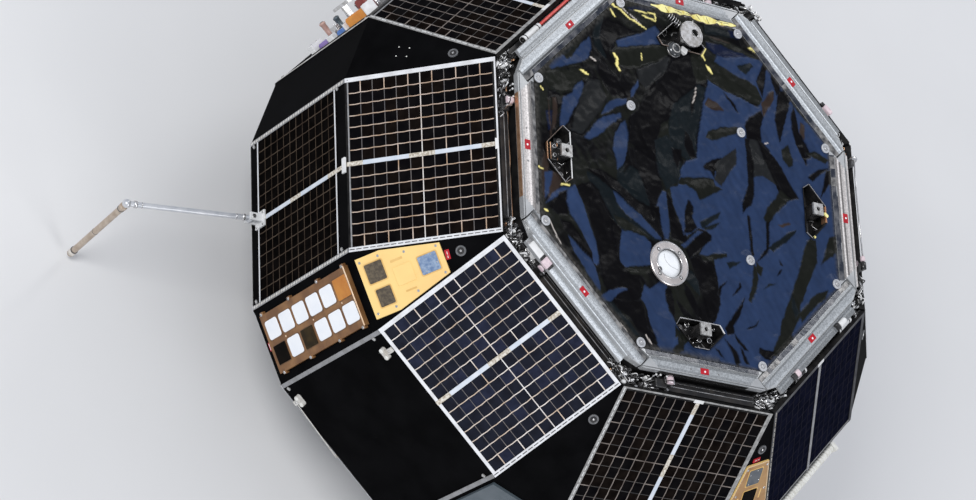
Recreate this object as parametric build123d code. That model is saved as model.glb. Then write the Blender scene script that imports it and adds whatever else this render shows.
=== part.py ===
"""An eight-sided spin-stabilised satellite, standing on its separation ring.

Millimetres, +Z up along the spin axis, origin on the axis at the ring's lower face.
The sides are counted from 1 at +X, anticlockwise seen from above, every 45 degrees.
"""

from build123d import *
from math import cos, radians, sin, sqrt, tan
import os

# Body: wide panels in three bands, with a narrow bent panel at each of the eight corners
across_flats = 1143.0
side_height = 319.0
slope_length = 269.0
slope_angle = 49.0
corner_tip = 5.2
skin = 10.0
side_count = 8
side_step = 360.0 / side_count
half_step = side_step / 2

# Places that follow from the body's sizes, heights counted from its middle
side_apothem = across_flats / 2
inner_apothem = side_apothem - slope_length * cos(radians(slope_angle))
panel_width = 2 * inner_apothem * tan(radians(half_step)) - corner_tip
half_width = panel_width / 2
half_side = side_height / 2
edge_z = half_side + slope_length * sin(radians(slope_angle))
inward = 1 - skin / side_apothem
corner_face_radius = side_apothem * cos(radians(half_step)) + half_width * sin(radians(half_step))
corner_tip_radius = inner_apothem * cos(radians(half_step)) + half_width * sin(radians(half_step))
corner_half_width = (side_apothem * tan(radians(half_step)) - half_width) * cos(radians(half_step))
corner_slant = sqrt((edge_z - half_side) ** 2 + (corner_face_radius - corner_tip_radius) ** 2)

# Solar panels: raised strips round two fields of cells
strip_rise = 1.5
side_strip = 8.0
end_strip = 6.5
cross_strip = 3.0
cells_below_top = 32.5
cells_above_bottom = 24.5
strip_cap_width = 20.0
strip_cap_length = 6.0
strip_cap_height = 3.0
strip_clip_width = 28.0
strip_clip_length = 9.0
strip_clip_height = 5.0

# End decks; their heights are counted from the sloped panels' inner edges
deck_floor = -20.0
deck_thickness = 10.0
deck_top = 8.0
deck_setback = 6.0

# Rails round the decks, with a slope inside; those of the even sides have square ends and a ledge outside
channel_width = 31.0
rail_width = 36.0
rail_top = 20.0
rail_slope_width = 14.0
rail_slope_low = 16.0
rail_groove_place = 4.0
rail_groove_width = 2.0
rail_groove_depth = 2.5
rail_gap = 2.5
rail_half_length = 158.0
rail_corner_cut = 8.0
ledge_width = 15.0
ledge_height = 5.0
ledge_lip_width = 8.0
ledge_lip_height = 1.5
ledge_half_length = 130.0
frame_apothem = inner_apothem - channel_width

# Thermal blanket on the upper deck, with four openings for the hoisting posts
post_count = 4
post_from_rail = 87.0
post_side = 20.0
post_top = 33.0
post_foot_thickness = 6.0
post_foot_width = 18.0
post_foot_half_length = 36.0
pad_overhang = 1.0
pad_thickness = 4.0
bore_radius = 4.0
bore_depth = 14.0
post_radius = frame_apothem - post_from_rail
blanket_thickness = 9.0
blanket_gap = 0.5
pocket_depth = 16.0
opening_beyond_post = 30.0
opening_shoulder_inside_post = 5.0
opening_inside_post = 19.0
opening_half_outer = 16.0
opening_half_shoulder = 52.5
opening_half_inner = 43.0
foot_clearance = 3.0

# Loose hoisting disc that lies on the post of side 3, a little to one side, with its hole off its centre
disc_side = 3
disc_radius = 25.0
disc_thickness = 3.0
disc_outwards = 6.0
disc_along = -10.0
disc_hole_radius = 7.0
disc_hole_outwards = 4.0
disc_hole_along = -8.0

# Round window in the blanket
window_x = -58.5
window_y = -161.3
window_ring_radius = 41.0
window_ring_inner = 26.0
window_ring_height = 10.0
window_ring_chamfer = 1.0
window_glass_height = 5.0
window_screw_count = 4
window_screw_inset = 9.0
window_screw_radius = 1.6
window_clearance = 0.3

# Buttons that pin the blanket down
button_radius = 9.0
button_thickness = 1.5
corner_button_inset = 19.0
inner_button_radius = 173.0

# Ducts, connectors and corner brackets in the channel round the upper deck
duct_gap = 5.0
duct_width = 17.0
duct_height = 12.0
duct_start = -62.0
duct_end = 128.0
connector_sides = (1, 2, 3, 4, 5, 6, 7)
connector_place = -78.0
connector_length = 22.0
connector_width = 15.0
connector_height = 18.0
drum_radius = 6.0
drum_ring_radius = 7.0
drum_ring_length = 4.0
pull_rod_start = -60.0
pull_rod_end = 38.0
pull_rod_from_rail = 18.5
pull_rod_radius = 3.0
bracket_gap = 1.5
bracket_length = 26.0
bracket_width = 30.0
bracket_height = 8.0
bracket_drum_radius = 7.0
bracket_drum_height = 16.0

# Studs on the sloped parts of the corner panels, counted from the tip
stud_from_tip = 78.5
stud_radius = 9.0
stud_thickness = 2.0
stud_place = corner_slant - stud_from_tip

# Sample plates on the sloped part of two upper corner panels, sizes counted from its lower edge
sample_margin = 16.0
sample_base = 5.0
sample_shoulder = 50.0
sample_below_stud = 20.5
sample_top = stud_place - stud_radius - sample_below_stud
sample_half_top = 27.0
sample_thickness = 4.0
sample_corner = 2.5
patch_thickness = 1.5

# Coating frame and radiator plate on the upright part of two corner panels
coating_margin = 16.0
coating_end_margin = 17.5
coating_thickness = 6.0
coating_rows = 6
coating_row_pitch = 45.6
coating_patch_width = 34.5
coating_patch_height = 38.0
coating_patch_corner = 5.0
coating_patch_offset = 23.0
coating_bar_height = 9.0
coating_bar_width = 3.0
radiator_margin = 8.0
radiator_end_margin = 15.5
radiator_thickness = 5.0

# Instrument tray on side 4
tray_side = 4
tray_margin = 13.0
tray_width = 208.0
tray_bottom = -45.0
tray_top_margin = 9.5
tray_thickness = 4.5
tray_post_radius = 5.0
tray_bracket_inset = 46.0
tray_bracket_width = 12.0
tray_bracket_low = 70.0
tray_bracket_length = 48.0
tray_bracket_height = 41.0
tray_bracket_thickness = 6.0

# Ribbed detector tube on side 8
tube_side = 8
tube_below_edge = 16.0
tube_stand = 12.5
tube_radius = 7.0
tube_rib_radius = 8.5
tube_rib_count = 23
tube_rib_pitch = 8.0
tube_rib_width = 4.0
tube_cap_side = 20.0
tube_cap_length = 8.0

# Two T-shaped clips by one edge of side 6, each with a rounded wing, and the rod that leaves the lower one
rod_side = 6
clip_from_edge = 41.0
clip_stem_width = 9.0
clip_stem_length = 24.0
clip_stem_height = 5.0
clip_from_end = 1.0
clip_wing_length = 23.0
clip_wing_width = 9.0
clip_wing_height = 8.0
rod_radius = 0.9
rod_length = 122.0
rod_lean = 4.0
rod_stand = 3.0

# Separation ring, and the block of equipment inside the body
ring_height = 77.0
ring_outer_radius = 230.0
ring_wall = 6.0
ring_flange_width = 25.0
ring_flange_thickness = 8.0
ring_bolt_count = 12
ring_bolt_radius = 3.3
equipment_side = 300.0

# Antennas on every other side: a root bracket, a near level arm and a hanging rod
antenna_sides = (1, 3, 5, 7)
hinge_stand = 22.5
hinge_above_edge = 32.5
elbow_reach = 246.5
elbow_drop = 45.0
whip_drop = 258.0
whip_lean = 23.5
arm_radius = 5.0
whip_radius = 6.0
whip_cap_radius = 6.8
whip_cap_length = 14.0
elbow_ball_radius = 8.0
hinge_pin_radius = 3.0
hinge_play = 0.05
hinge_barrel_radius = 7.0
hinge_barrel_height = 14.0
hinge_gap = 0.5
hinge_ear_thickness = 4.0
root_plate_width = 30.0
root_plate_border = 4.0
root_plate_thickness = 3.0

middle_z = ring_height + edge_z + deck_top
middle = Vector(0, 0, middle_z)
deck_face_z = middle_z + edge_z + deck_top
channel_floor_z = middle_z + edge_z + deck_floor
hinge_z = -half_side + hinge_above_edge
elbow_z = hinge_z - elbow_drop
whip_tip_z = elbow_z - whip_drop


def out_of(azimuth):
    """Unit vector that points outwards at an azimuth."""
    return Vector(cos(radians(azimuth)), sin(radians(azimuth)), 0)


def along(azimuth):
    """Unit vector along a side at an azimuth, anticlockwise seen from above."""
    return Vector(-sin(radians(azimuth)), cos(radians(azimuth)), 0)


def azimuth_of(side):
    return (side - 1) * side_step


def every_side():
    return [azimuth_of(side) for side in range(1, side_count + 1)]


def every_post():
    return [index * 360 / post_count for index in range(post_count)]


def panel_corner(azimuth, end, apothem, height):
    """Corner of a wide panel: end is -1 or 1 along the side, height is from the middle."""
    place = out_of(azimuth) * apothem + along(azimuth) * (end * half_width)
    return Vector(place.X, place.Y, middle_z + height)


def closed_solid(lower, upper):
    """Solid between two outlines with as many corners, joined by flat faces."""
    faces = [Face(Wire.make_polygon(lower)), Face(Wire.make_polygon(upper))]
    for index in range(len(lower)):
        after = (index + 1) % len(lower)
        faces.append(Face(Wire.make_polygon([lower[index], lower[after], upper[after], upper[index]])))
    return Solid(Shell(faces))


def mitred_plate(corners):
    """Flat plate whose edges all point to the body's middle, so that neighbours meet in a mitre."""
    return closed_solid([middle + (corner - middle) * inward for corner in corners], corners)


def four_corners(azimuth, upper, lower):
    """Corners of a wide panel between two levels, each an apothem and a height."""
    return [
        panel_corner(azimuth, -1, *upper),
        panel_corner(azimuth, 1, *upper),
        panel_corner(azimuth, 1, *lower),
        panel_corner(azimuth, -1, *lower),
    ]


def corner_plate(azimuth):
    """Narrow plate between the side at azimuth and the next one, bent over both sloped ends."""
    after = azimuth + side_step
    levels = [
        (inner_apothem, edge_z),
        (side_apothem, half_side),
        (side_apothem, -half_side),
        (inner_apothem, -edge_z),
    ]
    parts = []
    for upper, lower in zip(levels, levels[1:]):
        parts.append(mitred_plate([
            panel_corner(azimuth, 1, *upper),
            panel_corner(after, -1, *upper),
            panel_corner(after, -1, *lower),
            panel_corner(azimuth, 1, *lower),
        ]))
    return parts[0] + parts[1] + parts[2]


def slope_plane(azimuth, up):
    """Plane on a sloped panel's face: X along the side, Y up the panel, Z outwards."""
    slant = radians(slope_angle)
    radius = (inner_apothem + side_apothem) / 2
    centre = out_of(azimuth) * radius + middle + Vector(0, 0, up * (edge_z + half_side) / 2)
    normal = out_of(azimuth) * sin(slant) + Vector(0, 0, up * cos(slant))
    return Plane(centre, x_dir=along(azimuth), z_dir=normal)


def side_plane(azimuth):
    """Plane on a side panel's face: X along the side, Y up, Z outwards."""
    return Plane(out_of(azimuth) * side_apothem + middle, x_dir=along(azimuth), z_dir=out_of(azimuth))


def corner_plane(azimuth):
    """Plane on the upright part of the corner panel after a side."""
    centre = out_of(azimuth + half_step) * corner_face_radius + middle
    return Plane(centre, x_dir=along(azimuth + half_step), z_dir=out_of(azimuth + half_step))


def corner_slope_plane(azimuth):
    """Plane on the upper sloped part of a corner panel, with its origin on the lower edge."""
    outwards = out_of(azimuth + half_step)
    sideways = along(azimuth + half_step)
    base = outwards * corner_face_radius + middle + Vector(0, 0, half_side)
    tip = outwards * corner_tip_radius + middle + Vector(0, 0, edge_z)
    return Plane(base, x_dir=sideways, z_dir=sideways.cross((tip - base).normalized()))


def deck_plane(azimuth, z):
    """Level plane at a height: X outwards at an azimuth, Y along the side, Z up."""
    return Plane(Vector(0, 0, z), x_dir=out_of(azimuth), z_dir=(0, 0, 1))


def block(plane, x_range, y_range, z_range):
    """Box on a plane, from its lowest to its highest X, Y and Z there."""
    size = [high - low for low, high in (x_range, y_range, z_range)]
    centre = [(low + high) / 2 for low, high in (x_range, y_range, z_range)]
    return plane * Pos(*centre) * Box(*size)


def outline(points):
    return make_face(Polyline(points, close=True))


def octagon_prism(apothem, low, high):
    """Eight-sided prism with flats on the sides, between two heights from the middle."""
    shape = RegularPolygon(apothem, side_count, major_radius=False, rotation=half_step)
    return extrude(Plane.XY.offset(middle_z + low) * shape, high - low)


def sloped_solar_panel(azimuth, up):
    """Sloped panel of the upper end (up is 1) or the lower end (up is -1), with its raised strips."""
    plane = slope_plane(azimuth, up)
    half_length = slope_length / 2
    field = half_length - end_strip
    strips = block(plane, (-half_width, half_width), (-half_length, half_length), (0, strip_rise))
    for end in (-1, 1):
        near, far = sorted((end * side_strip / 2, end * (half_width - side_strip)))
        strips -= block(plane, (near, far), (-field, field), (0, strip_rise))
    plate = mitred_plate(four_corners(azimuth, (inner_apothem, up * edge_z), (side_apothem, up * half_side)))
    return plate + strips


def side_panel(azimuth, strips, cross_strips):
    """Upright panel with raised strips at these places along the side, and across it at these heights."""
    plane = side_plane(azimuth)
    panel = mitred_plate(four_corners(azimuth, (side_apothem, half_side), (side_apothem, -half_side)))
    for x in strips:
        x_range = (x - side_strip / 2, x + side_strip / 2)
        panel += block(plane, x_range, (-half_side, half_side), (0, strip_rise))
    for y in cross_strips:
        y_range = (y - cross_strip / 2, y + cross_strip / 2)
        panel += block(plane, (-half_width, half_width), y_range, (0, strip_rise))
    return panel


def side_solar_panel(azimuth):
    edge = half_width - side_strip / 2
    return side_panel(azimuth, (-edge, 0, edge), (half_side - cells_below_top, cells_above_bottom - half_side))


def side_black_panel(azimuth):
    edge = half_width - side_strip / 2
    return side_panel(azimuth, (-edge, edge), ())


def strip_caps():
    """White caps over the middle strips: at each upper panel's inner edge, and on the solar sides' top edges."""
    caps = []
    for azimuth in every_side():
        top = slope_length / 2
        caps.append(block(
            slope_plane(azimuth, 1),
            (-strip_cap_width / 2, strip_cap_width / 2),
            (top - strip_cap_length, top),
            (strip_rise, strip_cap_height),
        ))
    for side in antenna_sides:
        caps.append(block(
            side_plane(azimuth_of(side)),
            (-strip_clip_width / 2, strip_clip_width / 2),
            (half_side - strip_clip_length, half_side),
            (strip_rise, strip_clip_height),
        ))
    return caps


def inside_end(up):
    """The space inside one end of the skin, as a solid that trims the deck's edge."""
    rings = []
    for apothem, height in ((side_apothem, half_side), (inner_apothem, edge_z)):
        ring = []
        for azimuth in every_side():
            for end in (-1, 1):
                corner = panel_corner(azimuth, end, apothem, up * height)
                ring.append(middle + (corner - middle) * inward)
        rings.append(ring)
    return closed_solid(rings[0], rings[1])


def opening_prism(azimuth, low, high):
    """Six-sided opening round a hoisting post, between two heights from the middle."""
    radii = (
        post_radius + opening_beyond_post,
        post_radius - opening_shoulder_inside_post,
        post_radius - opening_inside_post,
    )
    halves = (opening_half_outer, opening_half_shoulder, opening_half_inner)
    one_side = list(zip(radii, halves))
    other_side = [(radius, -half) for radius, half in reversed(one_side)]
    return extrude(deck_plane(azimuth, middle_z + low) * outline(one_side + other_side), high - low)


def deck(up):
    """Deck across one end: a plate that closes the skin, and the eight-sided step that carries the rails."""
    low, high = sorted((up * (edge_z + deck_floor), up * (edge_z + deck_floor - deck_thickness)))
    slab = Pos(0, 0, middle_z + (low + high) / 2) * Box(across_flats, across_flats, high - low)
    plate = inside_end(up) & slab
    low, high = sorted((up * (edge_z + deck_floor), up * (edge_z + deck_top)))
    return plate + octagon_prism(frame_apothem - deck_setback, low, high)


def upper_deck():
    shape = deck(1)
    for azimuth in every_post():
        shape -= opening_prism(azimuth, edge_z + deck_top - pocket_depth, edge_z + deck_top)
    return shape


def rail_section():
    """Section of a rail as radius and height above the panels' edge, from its inner foot."""
    inner = frame_apothem - rail_width
    groove = frame_apothem - rail_groove_place
    groove_floor = rail_top - rail_groove_depth
    return [
        (inner, deck_top),
        (inner, rail_slope_low),
        (inner + rail_slope_width, rail_top),
        (groove, rail_top),
        (groove, groove_floor),
        (groove + rail_groove_width, groove_floor),
        (groove + rail_groove_width, rail_top),
        (frame_apothem, rail_top),
        (frame_apothem, deck_top),
    ]


def ledge_section():
    """Section of the ledge outside a rail, with a lip along its outer edge."""
    outer = frame_apothem + ledge_width
    top = deck_top + ledge_height
    return [
        (frame_apothem, deck_top),
        (frame_apothem, top),
        (outer - ledge_lip_width, top),
        (outer - ledge_lip_width, top + ledge_lip_height),
        (outer, top + ledge_lip_height),
        (outer, deck_top),
    ]


def long_bar(azimuth, up, points, half_length):
    """A section of radius and height, drawn along one side of an end."""
    plane = Plane(middle, x_dir=out_of(azimuth), z_dir=out_of(azimuth).cross(Vector(0, 0, 1)))
    section = plane * outline([(radius, up * (edge_z + z)) for radius, z in points])
    return extrude(section, half_length, both=True)


def end_rails(up):
    """Rails of the even sides with square ends, and those of the odd sides cut to fit between them."""
    cut_apothem = frame_apothem / cos(radians(half_step)) - rail_corner_cut
    cut_corners = extrude(RegularPolygon(cut_apothem, side_count, major_radius=False), 2 * middle_z)
    near = frame_apothem - rail_width - rail_gap
    half = rail_half_length + rail_gap
    rails = []
    for side in range(1, side_count + 1):
        azimuth = azimuth_of(side)
        if side % 2 == 0:
            bar = long_bar(azimuth, up, rail_section(), rail_half_length) & cut_corners
            bar += long_bar(azimuth, up, ledge_section(), ledge_half_length)
        else:
            bar = long_bar(azimuth, up, rail_section(), frame_apothem / 2) & cut_corners
            for turn in (-side_step, side_step):
                room = block(deck_plane(azimuth + turn, 0), (near, 2 * near), (-half, half), (0, 2 * middle_z))
                bar -= room
        rails.append(bar)
    return rails


def thermal_blanket():
    low = edge_z + deck_top
    sheet = octagon_prism(frame_apothem - rail_width - blanket_gap, low, low + blanket_thickness)
    for azimuth in every_post():
        sheet -= opening_prism(azimuth, low, low + blanket_thickness)
    hole = Cylinder(window_ring_radius + window_clearance, blanket_thickness)
    return sheet - Pos(window_x, window_y, deck_face_z + blanket_thickness / 2) * hole


def hoisting_posts():
    """Feet and posts that rise through the openings, with the screw's hole down from the pad."""
    floor = deck_face_z - pocket_depth
    top = middle_z + edge_z + post_top - pad_thickness
    start = post_radius - opening_inside_post + foot_clearance
    half = post_side / 2
    depth = bore_depth - pad_thickness
    posts = []
    for azimuth in every_post():
        plane = deck_plane(azimuth, 0)
        foot_height = (floor, floor + post_foot_thickness)
        foot_length = (-post_foot_half_length, post_foot_half_length)
        post = block(plane, (start, start + post_foot_width), foot_length, foot_height)
        post += block(plane, (start, post_radius), (-half, half), foot_height)
        post += block(plane, (post_radius - half, post_radius + half), (-half, half), (floor, top))
        post -= plane * Pos(post_radius, 0, top - depth / 2) * Cylinder(bore_radius, depth)
        posts.append(post)
    return posts


def post_pads():
    """Metal pads on the posts, bored for a hoisting screw."""
    half = post_side / 2 + pad_overhang
    top = middle_z + edge_z + post_top
    pads = []
    for azimuth in every_post():
        plane = deck_plane(azimuth, 0)
        pad = block(plane, (post_radius - half, post_radius + half), (-half, half), (top - pad_thickness, top))
        pads.append(pad - plane * Pos(post_radius, 0, top - pad_thickness / 2) * Cylinder(bore_radius, pad_thickness))
    return pads


def lift_disc():
    """Loose hoisting washer that lies on one post."""
    hole = Pos(disc_hole_outwards, disc_hole_along, 0) * Cylinder(disc_hole_radius, disc_thickness)
    disc = Cylinder(disc_radius, disc_thickness) - hole
    z = middle_z + edge_z + post_top + disc_thickness / 2
    return deck_plane(azimuth_of(disc_side), z) * Pos(post_radius + disc_outwards, disc_along, 0) * disc


def window_ring():
    ring = Cylinder(window_ring_radius, window_ring_height) - Cylinder(window_ring_inner, window_ring_height)
    ring = chamfer(ring.edges().group_by(Axis.Z)[-1].sort_by(SortBy.LENGTH)[-1], window_ring_chamfer)
    screw_circle = window_ring_radius - window_screw_inset
    screws = PolarLocations(screw_circle, window_screw_count, start_angle=180 / window_screw_count)
    ring -= screws * Cylinder(window_screw_radius, window_ring_height)
    return Pos(window_x, window_y, deck_face_z + window_ring_height / 2) * ring


def window_glass():
    glass = Cylinder(window_ring_inner - window_clearance, window_glass_height)
    return Pos(window_x, window_y, deck_face_z + window_glass_height / 2) * glass


def blanket_buttons():
    """One button in each corner, and three further in where no post or window is near."""
    corner_radius = frame_apothem - corner_button_inset
    places = [(corner_radius, azimuth + half_step) for azimuth in every_side()]
    places += [(inner_button_radius, azimuth) for azimuth in (45, 135, 315)]
    z = deck_face_z + blanket_thickness + button_thickness / 2
    return [
        deck_plane(azimuth, z) * Pos(radius, 0, 0) * Cylinder(button_radius, button_thickness)
        for radius, azimuth in places
    ]


def channel_ducts():
    """Dark cable ducts on the channel's floor, one along each side of the upper deck."""
    inner = frame_apothem + duct_gap
    height = (channel_floor_z, channel_floor_z + duct_height)
    return [
        block(deck_plane(azimuth, 0), (inner, inner + duct_width), (duct_start, duct_end), height)
        for azimuth in every_side()
    ]


def channel_connectors():
    """A connector at the start of most ducts: a block with a half-round hood on top."""
    inner = frame_apothem + duct_gap
    connectors = []
    for side in connector_sides:
        plane = deck_plane(azimuth_of(side), channel_floor_z)
        half = connector_length / 2
        foot = connector_height - connector_width / 2
        y_range = (connector_place - half, connector_place + half)
        connector = block(plane, (inner, inner + connector_width), y_range, (0, foot))
        hood = Pos(inner + connector_width / 2, connector_place, foot) * Rot(90, 0, 0)
        connectors.append(connector + plane * hood * Cylinder(connector_width / 2, connector_length))
    return connectors


def channel_drums():
    """White cylinders with a ring at one end, lying on the ducts and, on one side, on the channel's floor."""
    # side, centre along it, length, centre outside the rail's edge, lowest point above the channel's floor
    table = [
        (4, 65.0, 50.0, 18.5, duct_height),
        (6, -103.0, 26.0, 10.6, 0.0),
        (8, -60.0, 36.0, 18.5, duct_height),
        (8, 100.0, 40.0, 18.5, duct_height),
    ]
    drums = []
    for side, place, length, out, low in table:
        plane = deck_plane(azimuth_of(side), channel_floor_z + low + drum_ring_radius)
        lying = plane * Pos(frame_apothem + out, place, 0) * Rot(90, 0, 0)
        drum = lying * Cylinder(drum_radius, length)
        ring = Pos(0, 0, -(length - drum_ring_length) / 2) * Cylinder(drum_ring_radius, drum_ring_length)
        drums.append(drum + lying * ring)
    return drums


def pull_rod():
    """Red rod that lies on the duct of the tray's side, beyond the drum."""
    centre = frame_apothem + pull_rod_from_rail
    length = pull_rod_end - pull_rod_start
    z = channel_floor_z + duct_height + pull_rod_radius
    lying = Pos(centre, (pull_rod_start + pull_rod_end) / 2, 0) * Rot(90, 0, 0)
    return deck_plane(azimuth_of(tray_side), z) * lying * Cylinder(pull_rod_radius, length)


def corner_brackets(up):
    """Brackets in the channel at the deck's corners, each with a round drum."""
    start = (frame_apothem - deck_setback) / cos(radians(half_step)) + bracket_gap
    floor = edge_z + deck_floor
    brackets = []
    for azimuth in every_side():
        plane = deck_plane(azimuth + half_step, middle_z)
        z_range = sorted((up * floor, up * (floor + bracket_height)))
        y_range = (-bracket_width / 2, bracket_width / 2)
        bracket = block(plane, (start, start + bracket_length), y_range, z_range)
        drum = Cylinder(bracket_drum_radius, bracket_drum_height)
        drum_z = up * (floor + bracket_drum_height / 2)
        brackets.append(bracket + plane * Pos(start + bracket_length / 2, 0, drum_z) * drum)
    return brackets


def sample_plate(azimuth):
    half_base = corner_half_width - sample_margin
    right = [(half_base, sample_base), (half_base, sample_shoulder), (sample_half_top, sample_top)]
    left = [(-x, y) for x, y in reversed(right)]
    return extrude(corner_slope_plane(azimuth) * outline(right + left), sample_thickness)


def rounded_patch(plane, x, y, base, width, height, corner):
    """Thin patch with round corners, centred at x and y on a plane."""
    return extrude(plane * Pos(x, y, base) * RectangleRounded(width, height, corner), patch_thickness)


def sample_patches(azimuth):
    """Four test patches on a sample plate: two side by side, then two in line above them."""
    # centre along the side, centre as a share of the plate's height, width, height
    table = [
        (-22.0, 0.184, 34.0, 32.0),
        (23.0, 0.197, 31.0, 27.0),
        (0.0, 0.497, 33.0, 34.0),
        (-1.0, 0.810, 32.0, 34.0),
    ]
    plane = corner_slope_plane(azimuth)
    patches = []
    for x, share, width, height in table:
        y = sample_base + share * (sample_top - sample_base)
        patches.append(rounded_patch(plane, x, y, sample_thickness, width, height, sample_corner))
    return patches


def coating_frame(azimuth):
    """Raised frame plate with a bar along its upper end."""
    plane = corner_plane(azimuth)
    half = corner_half_width - coating_margin
    end = half_side - coating_end_margin
    frame = block(plane, (-half, half), (-end, end), (0, coating_thickness))
    return frame + block(plane, (-half, half), (end - coating_bar_width, end), (0, coating_bar_height))


def coating_patches(azimuth):
    plane = corner_plane(azimuth)
    size = (coating_patch_width, coating_patch_height, coating_patch_corner)
    patches = []
    for x in (-coating_patch_offset, coating_patch_offset):
        for row in range(coating_rows):
            y = (row - (coating_rows - 1) / 2) * coating_row_pitch
            patches.append(rounded_patch(plane, x, y, coating_thickness, *size))
    return patches


def radiator_plate(azimuth):
    half = corner_half_width - radiator_margin
    end = half_side - radiator_end_margin
    return block(corner_plane(azimuth), (-half, half), (-end, end), (0, radiator_thickness))


def tray_edge():
    """The tray's edge towards the next side, and its upper end, on the side panel's plane."""
    return half_width - tray_margin, half_side - tray_top_margin


def instrument_tray():
    right, top = tray_edge()
    plane = side_plane(azimuth_of(tray_side))
    return block(plane, (right - tray_width, right), (tray_bottom, top), (0, tray_thickness))


def on_tray(table):
    """Boxes on the tray, from a table of inset from its right edge, lower end, width, length and height."""
    right, top = tray_edge()
    plane = side_plane(azimuth_of(tray_side))
    boxes = []
    for inset, low, width, length, height in table:
        x_range = (right - inset - width, right - inset)
        z_range = (tray_thickness, tray_thickness + height)
        boxes.append(block(plane, x_range, (tray_bottom + low, tray_bottom + low + length), z_range))
    return boxes


def tray_blocks():
    # inset from the right edge, lower end above the tray's, width, length, height
    return on_tray([
        (6.0, 23.0, 24.0, 32.0, 7.0),
        (6.0, 85.0, 24.0, 29.0, 7.0),
        (6.0, 124.0, 24.0, 62.0, 16.0),
        (48.0, 125.0, 22.0, 25.0, 30.0),
    ])


def tray_clips():
    # inset from the right edge, lower end above the tray's, width, length, height
    return on_tray([
        (0.0, 2.0, 30.0, 14.0, 14.0),
        (0.0, 60.0, 14.0, 18.0, 9.0),
        (20.0, 60.0, 12.0, 18.0, 18.0),
        (0.0, 117.0, 30.0, 5.0, 12.0),
        (0.0, 188.0, 30.0, 6.0, 20.0),
    ])


def tray_posts():
    """Round posts that stand on the tray."""
    right, top = tray_edge()
    plane = side_plane(azimuth_of(tray_side))
    # inset from the right edge, height above the tray's lower end, length
    table = [(48.0, 62.0, 28.0), (48.0, 22.0, 34.0), (80.0, 140.0, 20.0), (110.0, 60.0, 24.0)]
    posts = []
    for inset, low, length in table:
        place = Pos(right - inset, tray_bottom + low, tray_thickness + length / 2)
        posts.append(plane * place * Cylinder(tray_post_radius, length))
    return posts


def tray_bracket():
    """T-shaped bracket that stands up from the tray."""
    right, top = tray_edge()
    plane = side_plane(azimuth_of(tray_side))
    x_range = (right - tray_bracket_inset - tray_bracket_width, right - tray_bracket_inset)
    low = tray_bottom + tray_bracket_low
    centre = low + tray_bracket_length / 2
    half = tray_bracket_thickness / 2
    bar_top = tray_thickness + tray_bracket_height
    stem = block(plane, x_range, (centre - half, centre + half), (tray_thickness, bar_top))
    return stem + block(plane, x_range, (low, low + tray_bracket_length), (bar_top - tray_bracket_thickness, bar_top))


def detector_tube():
    """Ribbed tube along the upper edge of one side, between two square end caps."""
    plane = side_plane(azimuth_of(tube_side))
    height = half_side - tube_below_edge
    length = tube_rib_count * tube_rib_pitch
    lying = plane * Pos(0, height, tube_stand) * Rot(0, 90, 0)
    tube = lying * Cylinder(tube_radius, length)
    for index in range(tube_rib_count):
        z = (index - (tube_rib_count - 1) / 2) * tube_rib_pitch
        tube += lying * Pos(0, 0, z) * Cylinder(tube_rib_radius, tube_rib_width)
    half = tube_cap_side / 2
    for end in (-1, 1):
        x_range = sorted((end * length / 2, end * (length / 2 + tube_cap_length)))
        tube += block(plane, x_range, (height - half, height + half), (0, tube_stand + half))
    return tube


def rod_brackets():
    """Two T-shaped clips near one edge of a side, and a thin rod that leaves the lower one."""
    plane = side_plane(azimuth_of(rod_side))
    x = clip_from_edge - half_width
    x_range = (x - clip_stem_width / 2, x + clip_stem_width / 2)
    far = half_side - clip_from_end
    near = far - clip_stem_length
    brackets = []
    for up in (1, -1):
        stem = block(plane, x_range, sorted((up * far, up * near)), (0, clip_stem_height))
        wing = SlotOverall(clip_wing_length, clip_wing_width)
        place = Pos(x, up * (near + clip_wing_width / 2), 0)
        brackets.append(stem + extrude(plane * place * wing, clip_wing_height))
    start = Pos(x, clip_stem_width / 2 - far, rod_stand) * Rot(0, 0, -rod_lean)
    brackets[1] += plane * start * Pos(rod_length / 2, 0, 0) * Rot(0, 90, 0) * Cylinder(rod_radius, rod_length)
    return brackets


def corner_studs():
    place = Pos(0, stud_place, stud_thickness / 2)
    return [corner_slope_plane(azimuth) * place * Cylinder(stud_radius, stud_thickness) for azimuth in every_side()]


def separation_ring():
    """Ring that joins the satellite to its launcher, with a bolted foot flange."""
    inner = ring_outer_radius - ring_wall
    wall = Cylinder(ring_outer_radius, ring_height) - Cylinder(inner, ring_height)
    flange = Cylinder(ring_outer_radius + ring_flange_width, ring_flange_thickness)
    flange -= Cylinder(inner, ring_flange_thickness)
    bolts = PolarLocations(ring_outer_radius + ring_flange_width / 2, ring_bolt_count)
    flange -= bolts * Cylinder(ring_bolt_radius, ring_flange_thickness)
    return Pos(0, 0, ring_height / 2) * wall + Pos(0, 0, ring_flange_thickness / 2) * flange


def equipment_block():
    height = 2 * (edge_z + deck_floor - deck_thickness)
    return Pos(0, 0, middle_z) * Box(equipment_side, equipment_side, height)


def antenna_root(azimuth):
    """White plate and two ears on the side panel, with the hinge pin between the ears."""
    plane = side_plane(azimuth)
    half_gap = hinge_barrel_height / 2 + hinge_gap
    half_reach = half_gap + hinge_ear_thickness
    half_plate = half_reach + root_plate_border
    out = strip_rise + root_plate_thickness
    x_range = (-root_plate_width / 2, root_plate_width / 2)
    root = block(plane, x_range, (hinge_z - half_plate, hinge_z + half_plate), (strip_rise, out))
    x_range = (-hinge_barrel_radius, hinge_barrel_radius)
    for up in (-1, 1):
        y_range = sorted((hinge_z + up * half_gap, hinge_z + up * half_reach))
        root += block(plane, x_range, y_range, (strip_rise, hinge_stand + hinge_barrel_radius))
    pin = deck_plane(azimuth, middle_z + hinge_z) * Pos(side_apothem + hinge_stand, 0, 0)
    return root + pin * Cylinder(hinge_pin_radius, 2 * half_reach)


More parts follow.
